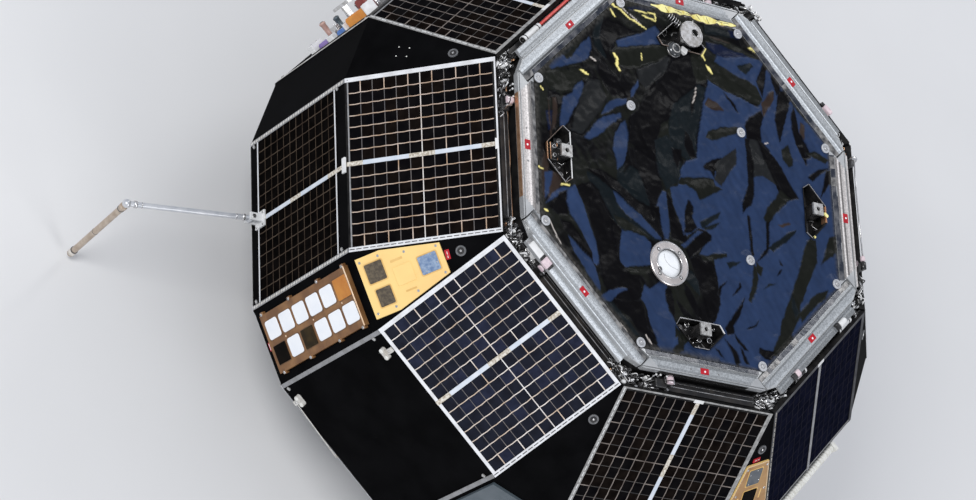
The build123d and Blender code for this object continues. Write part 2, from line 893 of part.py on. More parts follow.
def antenna_joints(azimuth):
    """Places of the hinge, the elbow and the tip of an antenna."""
    hinge = (side_apothem + hinge_stand, hinge_z)
    elbow = (side_apothem + elbow_reach, elbow_z)
    tip = (side_apothem + elbow_reach - whip_lean, whip_tip_z)
    return [out_of(azimuth) * radius + middle + Vector(0, 0, z) for radius, z in (hinge, elbow, tip)]


def rod_between(start, end, radius):
    length = (end - start).length
    return Plane(start, z_dir=(end - start).normalized()) * Pos(0, 0, length / 2) * Cylinder(radius, length)


def antenna_arm(azimuth):
    """Hinge barrel, near level arm and the ball at the elbow."""
    hinge, elbow, tip = antenna_joints(azimuth)
    arm = rod_between(hinge, elbow, arm_radius)
    arm += Pos(*tuple(hinge)) * Cylinder(hinge_barrel_radius, hinge_barrel_height)
    arm += Pos(*tuple(elbow)) * Sphere(elbow_ball_radius)
    return arm - Pos(*tuple(hinge)) * Cylinder(hinge_pin_radius + hinge_play, 2 * hinge_barrel_height)


def antenna_whip(azimuth):
    """Outer rod that hangs from the elbow, with its end cap."""
    hinge, elbow, tip = antenna_joints(azimuth)
    cap_start = tip + (elbow - tip).normalized() * whip_cap_length
    whip = rod_between(elbow, tip, whip_radius) + rod_between(cap_start, tip, whip_cap_radius)
    return whip - Pos(*tuple(elbow)) * Sphere(elbow_ball_radius)


def build_nodes():
    """Every node's name and its list of solids."""
    nodes = {
        "upper_solar_panels": [sloped_solar_panel(azimuth, 1) for azimuth in every_side()],
        "lower_solar_panels": [sloped_solar_panel(azimuth, -1) for azimuth in every_side()],
        "side_solar_panels": [side_solar_panel(azimuth_of(side)) for side in (1, 3, 5, 7)],
        "side_black_panels": [side_black_panel(azimuth_of(side)) for side in (2, 4, 6, 8)],
        "corner_panels": [corner_plate(azimuth) for azimuth in every_side()],
        "strip_caps": strip_caps(),
        "upper_deck": [upper_deck()],
        "lower_deck": [deck(-1)],
        "upper_end_rails": end_rails(1),
        "lower_end_rails": end_rails(-1),
        "upper_corner_brackets": corner_brackets(1),
        "lower_corner_brackets": corner_brackets(-1),
        "thermal_blanket": [thermal_blanket()],
        "hoisting_posts": hoisting_posts(),
        "post_pads": post_pads(),
        "lift_disc": [lift_disc()],
        "window_ring": [window_ring()],
        "window_glass": [window_glass()],
        "blanket_buttons": blanket_buttons(),
        "channel_ducts": channel_ducts(),
        "channel_connectors": channel_connectors(),
        "channel_drums": channel_drums(),
        "pull_rod": [pull_rod()],
        "sample_plates": [sample_plate(azimuth_of(side)) for side in (5, 7)],
        "sample_patches": sample_patches(azimuth_of(5)) + sample_patches(azimuth_of(7)),
        "coating_frame": [coating_frame(azimuth_of(5))],
        "coating_patches": coating_patches(azimuth_of(5)),
        "radiator_plate": [radiator_plate(azimuth_of(6))],
        "instrument_tray": [instrument_tray()],
        "tray_blocks": tray_blocks(),
        "tray_clips": tray_clips(),
        "tray_posts": tray_posts(),
        "tray_bracket": [tray_bracket()],
        "detector_tube": [detector_tube()],
        "rod_brackets": rod_brackets(),
        "corner_studs": corner_studs(),
        "separation_ring": [separation_ring()],
        "equipment_block": [equipment_block()],
        "antenna_roots": [antenna_root(azimuth_of(side)) for side in antenna_sides],
    }
    for side in antenna_sides:
        nodes[f"antenna_arm_{side}"] = [antenna_arm(azimuth_of(side))]
        nodes[f"antenna_whip_{side}"] = [antenna_whip(azimuth_of(side))]
    return nodes


os.makedirs("parts", exist_ok=True)
for name, shapes in build_nodes().items():
    solids = [solid for shape in shapes for solid in shape.solids()]
    whole = Compound(children=solids) if len(solids) > 1 else solids[0]
    export_step(whole, f"parts/{name}.step")
    print(name, len(solids), round(whole.volume))
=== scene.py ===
import random
from math import cos, hypot, pi, radians, sin, tan

import bmesh
import bpy
import numpy as np
from mathutils import Matrix, Vector, noise
from mathutils.geometry import delaunay_2d_cdt


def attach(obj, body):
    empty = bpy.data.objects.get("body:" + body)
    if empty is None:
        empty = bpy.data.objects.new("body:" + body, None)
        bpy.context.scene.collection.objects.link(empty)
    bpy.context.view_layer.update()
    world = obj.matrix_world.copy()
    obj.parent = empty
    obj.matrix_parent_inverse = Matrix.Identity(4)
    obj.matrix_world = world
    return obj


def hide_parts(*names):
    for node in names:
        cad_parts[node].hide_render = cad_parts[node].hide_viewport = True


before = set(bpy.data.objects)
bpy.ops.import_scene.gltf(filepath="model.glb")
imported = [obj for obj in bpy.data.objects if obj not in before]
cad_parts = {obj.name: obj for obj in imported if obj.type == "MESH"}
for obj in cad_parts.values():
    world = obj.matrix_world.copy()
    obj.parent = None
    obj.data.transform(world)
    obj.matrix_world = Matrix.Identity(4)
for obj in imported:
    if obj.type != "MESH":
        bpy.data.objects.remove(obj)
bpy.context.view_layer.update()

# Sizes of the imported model, in millimetres
metres = 0.001
across_flats = 1143.0
side_height = 319.0
slope_length = 269.0
slope_angle = 49.0
corner_tip = 5.2
side_strip = 8.0
end_strip = 6.5
strip_rise = 1.5
channel_width = 31.0
rail_width = 36.0
rail_top = 20.0
deck_top = 8.0
deck_floor = -20.0
ring_height = 77.0
duct_gap = 5.0
duct_height = 12.0
button_inset = 19.0
inner_button_radius = 173.0
post_from_rail = 87.0
post_top = 33.0
blanket_thickness = 9.0
window_place = (-58.5, -161.3)
window_outer = 41.0
window_inner = 26.0
hinge_z = -127.0
coating_pitch = 45.6
coating_offset = 23.0
coating_width = 34.5
coating_height = 38.0
coating_face = 6.0
coating_bar = 9.0
tray_inset = 13.0
tray_end = -45.0
tray_floor = 4.5
flange_thickness = 8.0
side_step = 45.0
half_step = 22.5
side_count = 8
all_sides = range(1, side_count + 1)
odd_sides = (1, 3, 5, 7)

side_apothem = across_flats / 2
inner_apothem = side_apothem - slope_length * cos(radians(slope_angle))
half_width = inner_apothem * tan(radians(half_step)) - corner_tip / 2
half_side = side_height / 2
half_slope = slope_length / 2
edge_z = half_side + slope_length * sin(radians(slope_angle))
corner_face = side_apothem * cos(radians(half_step)) + half_width * sin(radians(half_step))
corner_apex = inner_apothem * cos(radians(half_step)) + half_width * sin(radians(half_step))
frame_apothem = inner_apothem - channel_width
post_radius = frame_apothem - post_from_rail
opening_radii = (post_radius + 30.0, post_radius - 5.0, post_radius - 19.0)
opening_halves = (16.0, 52.5, 43.0)
middle_z = ring_height + edge_z + deck_top
deck_face = middle_z + edge_z + deck_top
channel_floor = middle_z + edge_z + deck_floor
blanket_apothem = frame_apothem - rail_width - 0.6
rim_height = 9.6
corner_half = (side_apothem * tan(radians(half_step)) - half_width) * cos(radians(half_step))
coating_half_width = corner_half - 16.0
coating_end = half_side - 17.5
corner_slant = hypot(edge_z - half_side, corner_face - corner_apex)
duct_start = -62.0
duct_end = 128.0
connector_place = -78.0

# Camera, in metres, with the lens and sensor in millimetres
camera_place = Vector((-3.29589, -2.15190, 4.89900))
camera_right = Vector((0.82685876, -0.03996729, 0.56098771))
camera_down = Vector((0.17375798, -0.93051870, -0.32240209))
camera_forward = Vector((0.53489510, 0.36405708, -0.76246290))
lens_length = 119.0
sensor_width = 36.0
picture_width = 976
picture_height = 500
pixel_slope = sensor_width / lens_length / picture_width


def out_of(azimuth):
    return Vector((cos(radians(azimuth)), sin(radians(azimuth)), 0))


def along(azimuth):
    return Vector((-sin(radians(azimuth)), cos(radians(azimuth)), 0))


def azimuth_of(side):
    return (side - 1) * side_step


def frame_at(origin, x_dir, z_dir):
    """Right-handed frame as a matrix, from its origin and two axes."""
    x = Vector(x_dir).normalized()
    z = Vector(z_dir).normalized()
    matrix = Matrix((x, z.cross(x), z)).transposed().to_4x4()
    matrix.translation = origin
    return matrix


def slope_frame(side, up):
    """On a sloped panel: X along the side, Y up the panel, Z outwards."""
    azimuth = azimuth_of(side)
    slant = radians(slope_angle)
    height = middle_z + up * (edge_z + half_side) / 2
    centre = out_of(azimuth) * ((inner_apothem + side_apothem) / 2) + Vector((0, 0, height))
    normal = out_of(azimuth) * sin(slant) + Vector((0, 0, up * cos(slant)))
    return frame_at(centre, along(azimuth), normal)


def upright_frame(azimuth, radius, z):
    """On an upright face: X along it, Y up, Z outwards."""
    return frame_at(out_of(azimuth) * radius + Vector((0, 0, z)), along(azimuth), out_of(azimuth))


def side_frame(side):
    return upright_frame(azimuth_of(side), side_apothem, middle_z)


def corner_frame(side):
    """On the upright part of the corner panel after a side."""
    return upright_frame(azimuth_of(side) + half_step, corner_face, middle_z)


def corner_slope_frame(side):
    """On the upper slope of the corner panel after a side, with its origin on the wide edge."""
    azimuth = azimuth_of(side) + half_step
    base = out_of(azimuth) * corner_face + Vector((0, 0, middle_z + half_side))
    tip = out_of(azimuth) * corner_apex + Vector((0, 0, middle_z + edge_z))
    slant = (tip - base).normalized()
    return frame_at(base, along(azimuth), along(azimuth).cross(slant))


def level_frame(azimuth, z):
    """Level: X outwards at an azimuth, Y along the side, Z up."""
    return frame_at((0, 0, z), out_of(azimuth), (0, 0, 1))


def shifted(place, x, y, z=0.0):
    return place @ Matrix.Translation((x, y, z))


def upside_down(place):
    return frame_at(place.translation, place.col[0].xyz, (0, 0, -1))


def turned(place, angle, axis="Z"):
    return place @ Matrix.Rotation(radians(angle), 4, axis)


def rectangle(x_range, y_range):
    (left, right), (low, high) = x_range, y_range
    return [(left, low), (right, low), (right, high), (left, high)]


def inset(outline, distance):
    """Convex outline drawn in by a distance on every side."""
    count = len(outline)
    lines = []
    for index in range(count):
        start = Vector(outline[index])
        end = Vector(outline[(index + 1) % count])
        step = (end - start).normalized()
        lines.append((start + Vector((-step.y, step.x)) * distance, step))
    corners = []
    for index in range(count):
        point, step = lines[index - 1]
        other, turn = lines[index]
        cross = step.x * turn.y - step.y * turn.x
        gap = other - point
        reach = (gap.x * turn.y - gap.y * turn.x) / cross
        corners.append(tuple(point + step * reach))
    return corners


def rounded(x_range, y_range, radius, steps=4):
    """Rectangle with round corners."""
    (left, right), (low, high) = x_range, y_range
    corners = []
    centres = [(right - radius, high - radius, 0), (left + radius, high - radius, 90)]
    centres += [(left + radius, low + radius, 180), (right - radius, low + radius, 270)]
    for x, y, start in centres:
        quarter = arc(radius, [start + 90 * index / steps for index in range(steps + 1)])
        corners += [(x + dx, y + dy) for dx, dy in quarter]
    return corners


def pad(half_x, half_y, radius, x=0.0, y=0.0):
    """Rectangle with round corners about a point, from its half sizes."""
    return rounded((x - half_x, x + half_x), (y - half_y, y + half_y), radius)


def arc(radius, angles):
    return [(radius * cos(radians(angle)), radius * sin(radians(angle))) for angle in angles]


def polygon(radius, count):
    return arc(radius, [360 * index / count for index in range(count)])


def turned_rings(profile, sides):
    """Rings of corners round Z, one for each pair of radius and height."""
    return [[(x, y, z) for x, y in polygon(radius, sides)] for radius, z in profile]


def smooth_path(points, steps=4):
    """Curve through the points, each span cut into steps."""
    path = [Vector(point) for point in points]
    ends = [path[0] * 2 - path[1]] + path + [path[-1] * 2 - path[-2]]
    curve = []
    for index in range(1, len(ends) - 2):
        before, start, end, after = ends[index - 1 : index + 3]
        for step in range(steps):
            t = step / steps
            curve.append(0.5 * (
                2 * start
                + (end - before) * t
                + (2 * before - 5 * start + 4 * end - after) * t ** 2
                + (3 * start - before - 3 * end + after) * t ** 3
            ))
    return curve + [path[-1]]


class Build:
    """Shapes in millimetres gathered into one mesh, with a material slot for each finish."""

    def __init__(self, *names):
        self.mesh = bmesh.new()
        self.finishes = [finishes[name] for name in names]

    def add(self, place, points, faces, finish, smooth):
        """Adds faces in a frame; the first ones, up to smooth, are shaded smooth."""
        corners = [self.mesh.verts.new(place @ Vector(point)) for point in points]
        for index, face in enumerate(faces):
            made = self.mesh.faces.new([corners[corner] for corner in face])
            made.material_index = finish
            made.smooth = index < smooth

    def loft(self, place, rings, finish, smooth, caps=(True, True), closed=True):
        count = len(rings[0])
        spans = count if closed else count - 1
        points = [point for ring in rings for point in ring]
        faces = []
        for level in range(len(rings) - 1):
            start = level * count
            for index in range(spans):
                after = (index + 1) % count
                faces.append((start + index, start + after, start + count + after, start + count + index))
        sides = len(faces)
        if caps[0]:
            faces.append(tuple(reversed(range(count))))
        if caps[1]:
            last = (len(rings) - 1) * count
            faces.append(tuple(range(last, last + count)))
        self.add(place, points, faces, finish, sides if smooth else 0)

    def prism(self, place, outline, low, high, finish=0, chamfer=0.0):
        """Upright shape over an outline, open below."""
        rings = [[(x, y, low) for x, y in outline], [(x, y, high - chamfer) for x, y in outline]]
        if chamfer:
            rings.append([(x, y, high) for x, y in inset(outline, chamfer)])
        self.loft(place, rings, finish, False, (False, True))

    def box(self, place, x_range, y_range, z_range, finish=0, chamfer=0.0):
        self.prism(place, rectangle(x_range, y_range), *z_range, finish, chamfer)

    def lathe(self, place, profile, finish, sides, smooth=True):
        """Turned shape round Z, from pairs of radius and height, lowest first and open below."""
        self.loft(place, turned_rings(profile, sides), finish, smooth, (False, True))

    def ring(self, place, inner, outer, low, high, finish, sides, chamfer):
        profile = [(outer, low), (outer, high - chamfer), (outer - chamfer, high)]
        profile += [(inner + chamfer, high), (inner, high - chamfer), (inner, low)]
        self.loft(place, turned_rings(profile, sides), finish, False, (False, False))

    def tube(self, place, points, radius, finish, sides):
        path = [Vector(point) for point in points]
        pairs = zip(path[:1] + path, path[1:] + path[-1:])
        steps = [(after - before).normalized() for before, after in pairs]
        sideways = steps[0].orthogonal().normalized()
        rings = []
        for point, step in zip(path, steps):
            sideways = (sideways - step * sideways.dot(step)).normalized()
            other = step.cross(sideways)
            rings.append([point + sideways * x + other * y for x, y in polygon(radius, sides)])
        self.loft(place, rings, finish, True)

    def coil(self, place, radius, wire, length, turns, finish):
        count = int(turns * 10)
        circle = arc(radius, [360 * turns * index / count for index in range(count + 1)])
        points = [(x, y, length * index / count) for index, (x, y) in enumerate(circle)]
        self.tube(place, points, wire, finish, 5)

    def ribbon(self, place, points, width, low, high, finish):
        """Flat strip along a path of pairs, open below."""
        half = width / 2
        corners = ((-half, low), (-half, high), (half, high), (half, low))
        rings = [[(x + dx, y, z) for dx, z in corners] for x, y in points]
        self.loft(place, rings, finish, False, (False, False), False)

    def screw(self, place, radius, height, finish=0, slot=None):
        """Round screw head, with a dark slot across it where one is given."""
        profile = [(radius, 0), (radius, height * 0.6), (radius * 0.75, height)]
        self.lathe(place, profile, finish, 10)
        if slot is not None:
            half = radius * 0.55
            self.box(place, (-half, half), (-radius * 0.12, radius * 0.12), (height, height + 0.15), slot)

    def screws(self, place, spots, level, radius, height, finish=0, slot=None):
        """Screw heads of one kind at some spots of a frame."""
        for x, y in spots:
            self.screw(shifted(place, x, y, level), radius, height, finish, slot)

    def piece(self, name, body="body"):
        self.mesh.transform(Matrix.Scale(metres, 4))
        data = bpy.data.meshes.new(name)
        self.mesh.to_mesh(data)
        self.mesh.free()
        for finish in self.finishes:
            data.materials.append(finish)
        made = bpy.data.objects.new(name, data)
        bpy.context.scene.collection.objects.link(made)
        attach(made, body)
        return made


# How far the roughness of a finish strays to each side
rough_spread = 0.08


def finish_of(name, colour, second, rough, scale, metal=0.0, shine=0.5, blend=(0.35, 0.65),
              bump=0.0, bump_scale=300.0, bump_depth=0.0003):
    """Procedural material: two colours in a noise pattern, uneven roughness and a fine bump."""
    made = bpy.data.materials.new(name)
    made.use_nodes = True
    nodes = made.node_tree.nodes
    link = made.node_tree.links.new
    shader = nodes["Principled BSDF"]
    shader.inputs["Metallic"].default_value = metal
    shader.inputs["Specular IOR Level"].default_value = shine
    spot = nodes.new("ShaderNodeTexCoord").outputs["Object"]

    def noise_of(size, detail):
        pattern = nodes.new("ShaderNodeTexNoise")
        pattern.inputs["Scale"].default_value = size
        pattern.inputs["Detail"].default_value = detail
        link(spot, pattern.inputs["Vector"])
        return pattern.outputs["Fac"]

    value = noise_of(scale, 5.0)
    ramp = nodes.new("ShaderNodeValToRGB")
    for element, position, tint in zip(ramp.color_ramp.elements, blend, (colour, second)):
        element.position = position
        element.color = (*tint, 1)
    link(value, ramp.inputs["Fac"])
    link(ramp.outputs["Color"], shader.inputs["Base Color"])
    spread = nodes.new("ShaderNodeMapRange")
    spread.inputs["To Min"].default_value = max(0.02, rough - rough_spread)
    spread.inputs["To Max"].default_value = min(1.0, rough + rough_spread)
    link(value, spread.inputs["Value"])
    link(spread.outputs["Result"], shader.inputs["Roughness"])
    if bump:
        lift = nodes.new("ShaderNodeBump")
        lift.inputs["Strength"].default_value = bump
        lift.inputs["Distance"].default_value = bump_depth
        link(noise_of(bump_scale, 3.0), lift.inputs["Height"])
        link(lift.outputs["Normal"], shader.inputs["Normal"])
    return made


# Finishes: name, first and second colour, roughness, scale of the pattern, then what isn't usual
finish_rows = (
    ("cell_dark", (0.0032, 0.003, 0.0038), (0.006, 0.0055, 0.006), 0.45, 45, {"shine": 0}),
    ("cell_brown", (0.0045, 0.0033, 0.003), (0.009, 0.0065, 0.0055), 0.45, 60, {"shine": 0}),
    ("cell_navy", (0.008, 0.0088, 0.0145), (0.012, 0.014, 0.024), 0.3, 50, {"shine": 0.1}),
    ("cell_blue", (0.0115, 0.014, 0.029), (0.018, 0.022, 0.044), 0.28, 70, {"shine": 0.12}),
    # Painted shade: cell_sunless, ribbon_sunless, ribbon_dusk, ribbon_faint, cell_shaded, ribbon_shaded,
    # strip_shaded and strip_dim are darker copies of cells, ribbons and strips for parts that lie in shadow
    ("cell_sunless", (0.0026, 0.0023, 0.0021), (0.005, 0.0042, 0.004), 0.7, 50, {"shine": 0}),
    ("ribbon_sunless", (0.1, 0.075, 0.055), (0.045, 0.032, 0.024), 0.5, 35, {"shine": 0}),
    ("dash_white", (0.82, 0.83, 0.83), (0.62, 0.62, 0.6), 0.42, 60, {"shine": 0.3}),
    ("ribbon_dusk", (0.26, 0.225, 0.2), (0.11, 0.09, 0.08), 0.5, 35, {"shine": 0.1}),
    ("ribbon_faint", (0.04, 0.04, 0.042), (0.075, 0.068, 0.062), 0.5, 40, {"shine": 0.1}),
    ("ribbon_cream", (0.8, 0.74, 0.68), (0.55, 0.42, 0.31), 0.42, 35, {"shine": 0.3}),
    ("ribbon_tan", (0.62, 0.5, 0.42), (0.42, 0.28, 0.18), 0.42, 35, {"shine": 0.4}),
    ("ribbon_pale", (0.78, 0.76, 0.74), (0.6, 0.52, 0.46), 0.4, 35, {"shine": 0.4}),
    ("cell_shaded", (0.004, 0.005, 0.011), (0.007, 0.008, 0.018), 0.6, 50, {"shine": 0}),
    ("ribbon_shaded", (0.022, 0.021, 0.03), (0.014, 0.014, 0.022), 0.6, 35, {"shine": 0}),
    ("strip_shaded", (0.13, 0.13, 0.135), (0.08, 0.08, 0.085), 0.6, 60, {"shine": 0}),
    ("strip_dim", (0.4, 0.4, 0.39), (0.22, 0.215, 0.21), 0.55, 110, {"shine": 0.1, "bump": 0.4}),
    ("ribbon_dim", (0.1, 0.095, 0.1), (0.17, 0.15, 0.14), 0.45, 40, {"shine": 0.4}),
    ("strip_white", (0.8, 0.81, 0.83), (0.66, 0.66, 0.67), 0.45, 60, {"bump": 0.3}),
    ("strip_blue", (0.58, 0.64, 0.72), (0.7, 0.73, 0.78), 0.42, 50, {"bump": 0.2}),
    ("strip_beige", (0.74, 0.7, 0.62), (0.4, 0.34, 0.26), 0.38, 260,
     {"bump": 0.9, "bump_scale": 240, "bump_depth": 0.0008, "blend": (0.4, 0.6)}),
    ("strip_grey", (0.3, 0.3, 0.31), (0.22, 0.22, 0.22), 0.5, 70, {"bump": 0.3}),
    ("bead_pale", (0.72, 0.71, 0.68), (0.52, 0.49, 0.44), 0.38, 90, {}),
    ("groove_dark", (0.05, 0.05, 0.055), (0.12, 0.12, 0.12), 0.6, 80, {}),
    ("black_paint", (0.0026, 0.0026, 0.0029), (0.0045, 0.0045, 0.005), 0.7, 18,
     {"shine": 0.01, "bump": 0.15, "bump_scale": 500}),
    ("black_edge", (0.006, 0.006, 0.007), (0.022, 0.021, 0.02), 0.5, 60, {"shine": 0.08}),
    ("deck_black", (0.008, 0.008, 0.009), (0.018, 0.017, 0.016), 0.55, 70, {"shine": 0.12}),
    ("black_gloss", (0.01, 0.01, 0.011), (0.03, 0.028, 0.027), 0.22, 70, {}),
    ("duct_grey", (0.016, 0.016, 0.017), (0.045, 0.04, 0.036), 0.3, 40,
     {"shine": 0.3, "bump": 0.3, "blend": (0.45, 0.7)}),
    ("rail_metal", (0.4, 0.41, 0.42), (0.52, 0.53, 0.53), 0.42, 25,
     {"metal": 0.4, "bump": 0.12, "bump_scale": 900}),
    ("foil_lap", (0.016, 0.021, 0.034), (0.13, 0.13, 0.14), 0.3, 55,
     {"metal": 0.2, "bump": 0.6, "bump_scale": 120, "bump_depth": 0.001, "blend": (0.42, 0.66)}),
    ("foil_lap_pale", (0.06, 0.06, 0.062), (0.3, 0.29, 0.28), 0.3, 70,
     {"metal": 0.2, "bump": 0.6, "bump_scale": 120, "bump_depth": 0.001, "blend": (0.4, 0.62)}),
    # gold foil, also used as a painted highlight of warm light on side 3's rail lap
    ("foil_gold", (1, 0.93, 0.4), (0.72, 0.58, 0.12), 0.3, 90,
     {"metal": 0.1, "bump": 0.6, "bump_scale": 150, "bump_depth": 0.001, "blend": (0.45, 0.7)}),
    ("bright_metal", (0.72, 0.72, 0.73), (0.5, 0.49, 0.47), 0.25, 120,
     {"metal": 0.9, "bump": 0.3, "bump_scale": 400}),
    ("dull_metal", (0.42, 0.42, 0.43), (0.26, 0.25, 0.24), 0.38, 140, {"metal": 0.8, "bump": 0.3}),
    ("cast_metal", (0.55, 0.55, 0.54), (0.33, 0.32, 0.31), 0.45, 200, {"metal": 0.6, "bump": 0.6}),
    ("white_paint", (0.82, 0.82, 0.82), (0.7, 0.7, 0.69), 0.45, 80, {"bump": 0.2}),
    ("pink_white", (0.8, 0.66, 0.68), (0.62, 0.5, 0.54), 0.42, 150, {"bump": 0.3}),
    ("red_paint", (0.52, 0.006, 0.02), (0.36, 0.004, 0.012), 0.45, 90, {"shine": 0.3, "bump": 0.2}),
    ("red_rod", (0.85, 0.16, 0.14), (0.68, 0.08, 0.07), 0.35, 40, {}),
    ("smoked", (0.055, 0.058, 0.062), (0.12, 0.125, 0.13), 0.15, 90, {"metal": 0.6, "bump": 0.2}),
    ("rim_brown", (0.12, 0.085, 0.065), (0.24, 0.19, 0.16), 0.4, 120, {"metal": 0.3, "bump": 0.3}),
    ("copper_tape", (0.62, 0.32, 0.18), (0.8, 0.5, 0.3), 0.3, 90, {"metal": 0.8, "bump": 0.5}),
    ("button_clear", (0.34, 0.35, 0.37), (0.5, 0.51, 0.53), 0.3, 160, {"bump": 0.3}),
    ("button_white", (0.62, 0.63, 0.65), (0.42, 0.43, 0.45), 0.3, 160, {"bump": 0.3}),
    ("stud_grey", (0.085, 0.088, 0.092), (0.15, 0.15, 0.155), 0.3, 160, {"bump": 0.3}),
    ("gold_plate", (0.92, 0.66, 0.24), (0.86, 0.56, 0.2), 0.42, 16, {"bump": 0.15, "blend": (0.3, 0.75)}),
    ("gold_deep", (0.7, 0.42, 0.12), (0.8, 0.52, 0.18), 0.42, 40, {"bump": 0.2}),
    ("plate_brown", (0.33, 0.165, 0.055), (0.46, 0.27, 0.11), 0.42, 22, {"bump": 0.3}),
    ("plate_pale", (0.72, 0.5, 0.3), (0.85, 0.66, 0.44), 0.4, 40, {"bump": 0.2}),
    ("patch_dark", (0.05, 0.035, 0.019), (0.112, 0.084, 0.048), 0.5, 190,
     {"bump": 0.5, "blend": (0.4, 0.6)}),
    ("patch_blue", (0.105, 0.18, 0.335), (0.28, 0.37, 0.5), 0.4, 170, {"bump": 0.4}),
    ("patch_grey", (0.075, 0.088, 0.105), (0.12, 0.13, 0.14), 0.45, 60, {"bump": 0.3}),
    ("patch_white", (0.95, 0.97, 0.99), (0.9, 0.93, 0.97), 0.3, 40, {}),
    ("patch_black", (0.003, 0.0025, 0.002), (0.007, 0.005, 0.004), 0.5, 60, {"shine": 0.02}),
    ("patch_orange", (0.5, 0.165, 0.01), (0.58, 0.225, 0.025), 0.38, 50, {}),
    ("copper_frame", (0.17, 0.075, 0.026), (0.3, 0.15, 0.055), 0.42, 30, {"metal": 0.25, "bump": 0.3}),
    ("patch_brown", (0.045, 0.028, 0.008), (0.022, 0.014, 0.005), 0.5, 60, {"shine": 0.1, "bump": 0.3}),
    ("copper_edge", (0.12, 0.058, 0.022), (0.2, 0.1, 0.04), 0.45, 60, {"metal": 0.2, "bump": 0.3}),
    ("bar_copper", (0.8, 0.56, 0.36), (0.9, 0.68, 0.48), 0.35, 60, {"metal": 0.3, "bump": 0.3}),
    ("radiator_blue", (0.085, 0.11, 0.128), (0.12, 0.145, 0.165), 0.35, 30, {"metal": 0.3}),
    ("cable_black", (0.012, 0.012, 0.013), (0.035, 0.034, 0.033), 0.35, 90, {"bump": 0.3}),
    ("duct_line", (0.5, 0.5, 0.51), (0.22, 0.22, 0.22), 0.35, 60, {"metal": 0.5}),
    ("tray_black", (0.03, 0.03, 0.032), (0.06, 0.055, 0.05), 0.45, 60, {"bump": 0.3}),
    ("tray_orange", (0.66, 0.23, 0.025), (0.78, 0.33, 0.05), 0.36, 50, {"bump": 0.2}),
    ("tray_blue", (0.07, 0.18, 0.5), (0.14, 0.28, 0.6), 0.36, 60, {"bump": 0.2}),
    ("tray_purple", (0.2, 0.13, 0.42), (0.32, 0.22, 0.52), 0.36, 60, {"bump": 0.2}),
    ("tray_pink", (0.42, 0.24, 0.2), (0.55, 0.36, 0.3), 0.4, 60, {"bump": 0.2}),
    ("tray_maroon", (0.16, 0.02, 0.02), (0.26, 0.05, 0.04), 0.4, 60, {"bump": 0.2}),
    ("tube_white", (0.8, 0.8, 0.76), (0.66, 0.65, 0.6), 0.42, 90, {"bump": 0.3}),
    ("window_rim", (0.5, 0.465, 0.45), (0.64, 0.59, 0.57), 0.34, 40, {"metal": 0.7, "bump": 0.2}),
    ("window_white", (0.88, 0.9, 0.92), (0.8, 0.82, 0.84), 0.35, 60, {"bump": 0.2}),
    ("ring_metal", (0.52, 0.53, 0.55), (0.64, 0.65, 0.66), 0.36, 20,
     {"metal": 0.8, "bump": 0.2, "bump_scale": 600}),
    ("arm_metal", (0.58, 0.6, 0.63), (0.72, 0.73, 0.75), 0.34, 60, {"metal": 0.7, "bump": 0.2}),
    ("whip_brown", (0.42, 0.33, 0.25), (0.56, 0.47, 0.38), 0.4, 70, {"metal": 0.3, "bump": 0.2}),
    ("whip_pale", (0.66, 0.6, 0.52), (0.78, 0.74, 0.68), 0.4, 90, {"metal": 0.2}),
)
finishes = {name: finish_of(name, *values, **rest) for name, *values, rest in finish_rows}


def rail_tone(level, warm):
    """Finish of a lane of rail tape, from a lightness of 1 to 8 and a tint."""
    light = (0.08, 0.15, 0.22, 0.29, 0.38, 0.47, 0.58, 0.74)[level - 1]
    colour = [light * share for share in ((1.04, 0.98, 0.95) if warm else (0.95, 1.0, 1.04))]
    name = f"rail_{'warm' if warm else 'cool'}_{level}"
    first, second = ([channel * share for channel in colour] for share in (0.82, 1.16))
    finishes[name] = finish_of(name, first, second, 0.42, 380, metal=0.3, blend=(0.42, 0.58),
                               bump=0.35, bump_scale=420, bump_depth=0.0004)
    return name


rail_tones = [rail_tone(level, warm) for warm in (False, True) for level in range(1, 9)]

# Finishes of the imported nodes
nodes_with = {
    "black_edge": ("upper_solar_panels", "lower_solar_panels"),
    "black_paint": ("side_solar_panels", "side_black_panels", "corner_panels"),
    "white_paint": ("strip_caps", "channel_drums", "antenna_roots"),
    "deck_black": ("upper_deck", "lower_deck", "equipment_block"),
    "rail_metal": ("upper_end_rails", "lower_end_rails"),
    "black_gloss": ("upper_corner_brackets", "lower_corner_brackets", "hoisting_posts"),
    "cast_metal": ("post_pads",),
    "dull_metal": ("lift_disc", "tray_posts"),
    "window_rim": ("window_ring",),
    "window_white": ("window_glass",),
    "button_clear": ("blanket_buttons",),
    "duct_grey": ("channel_ducts",),
    "pink_white": ("channel_connectors",),
    "red_rod": ("pull_rod",),
    "gold_plate": ("sample_plates",),
    "copper_frame": ("coating_frame",),
    "radiator_blue": ("radiator_plate",),
    "tray_black": ("instrument_tray",),
    "bright_metal": ("tray_bracket",),
    "tube_white": ("detector_tube",),
    "bead_pale": ("rod_brackets",),
    "stud_grey": ("corner_studs",),
    "ring_metal": ("separation_ring",),
    "arm_metal": [f"antenna_arm_{side}" for side in odd_sides],
    "whip_brown": [f"antenna_whip_{side}" for side in odd_sides],
}
for finish, nodes in nodes_with.items():
    for node in nodes:
        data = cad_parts[node].data
        data.materials.clear()
        data.materials.append(finishes[finish])


# Solar cells with their ribbons
cell_rows = 7
cell_columns = 12
cell_gap = 1.3
ribbon_width = 1.6
# Finishes that the cells of a panel take turns in; dusk, shaded and sunless are painted shade for panels that
# lie in shadow, with darker ribbons and, for shaded and sunless, darker cells
dark = (0, 0, 0, 1, 1, 0)
dusk = (1, 0, 1, 0, 0)
navy = (2, 2, 2, 3, 2)
shaded = (4, 4)
sunless = (5, 5)
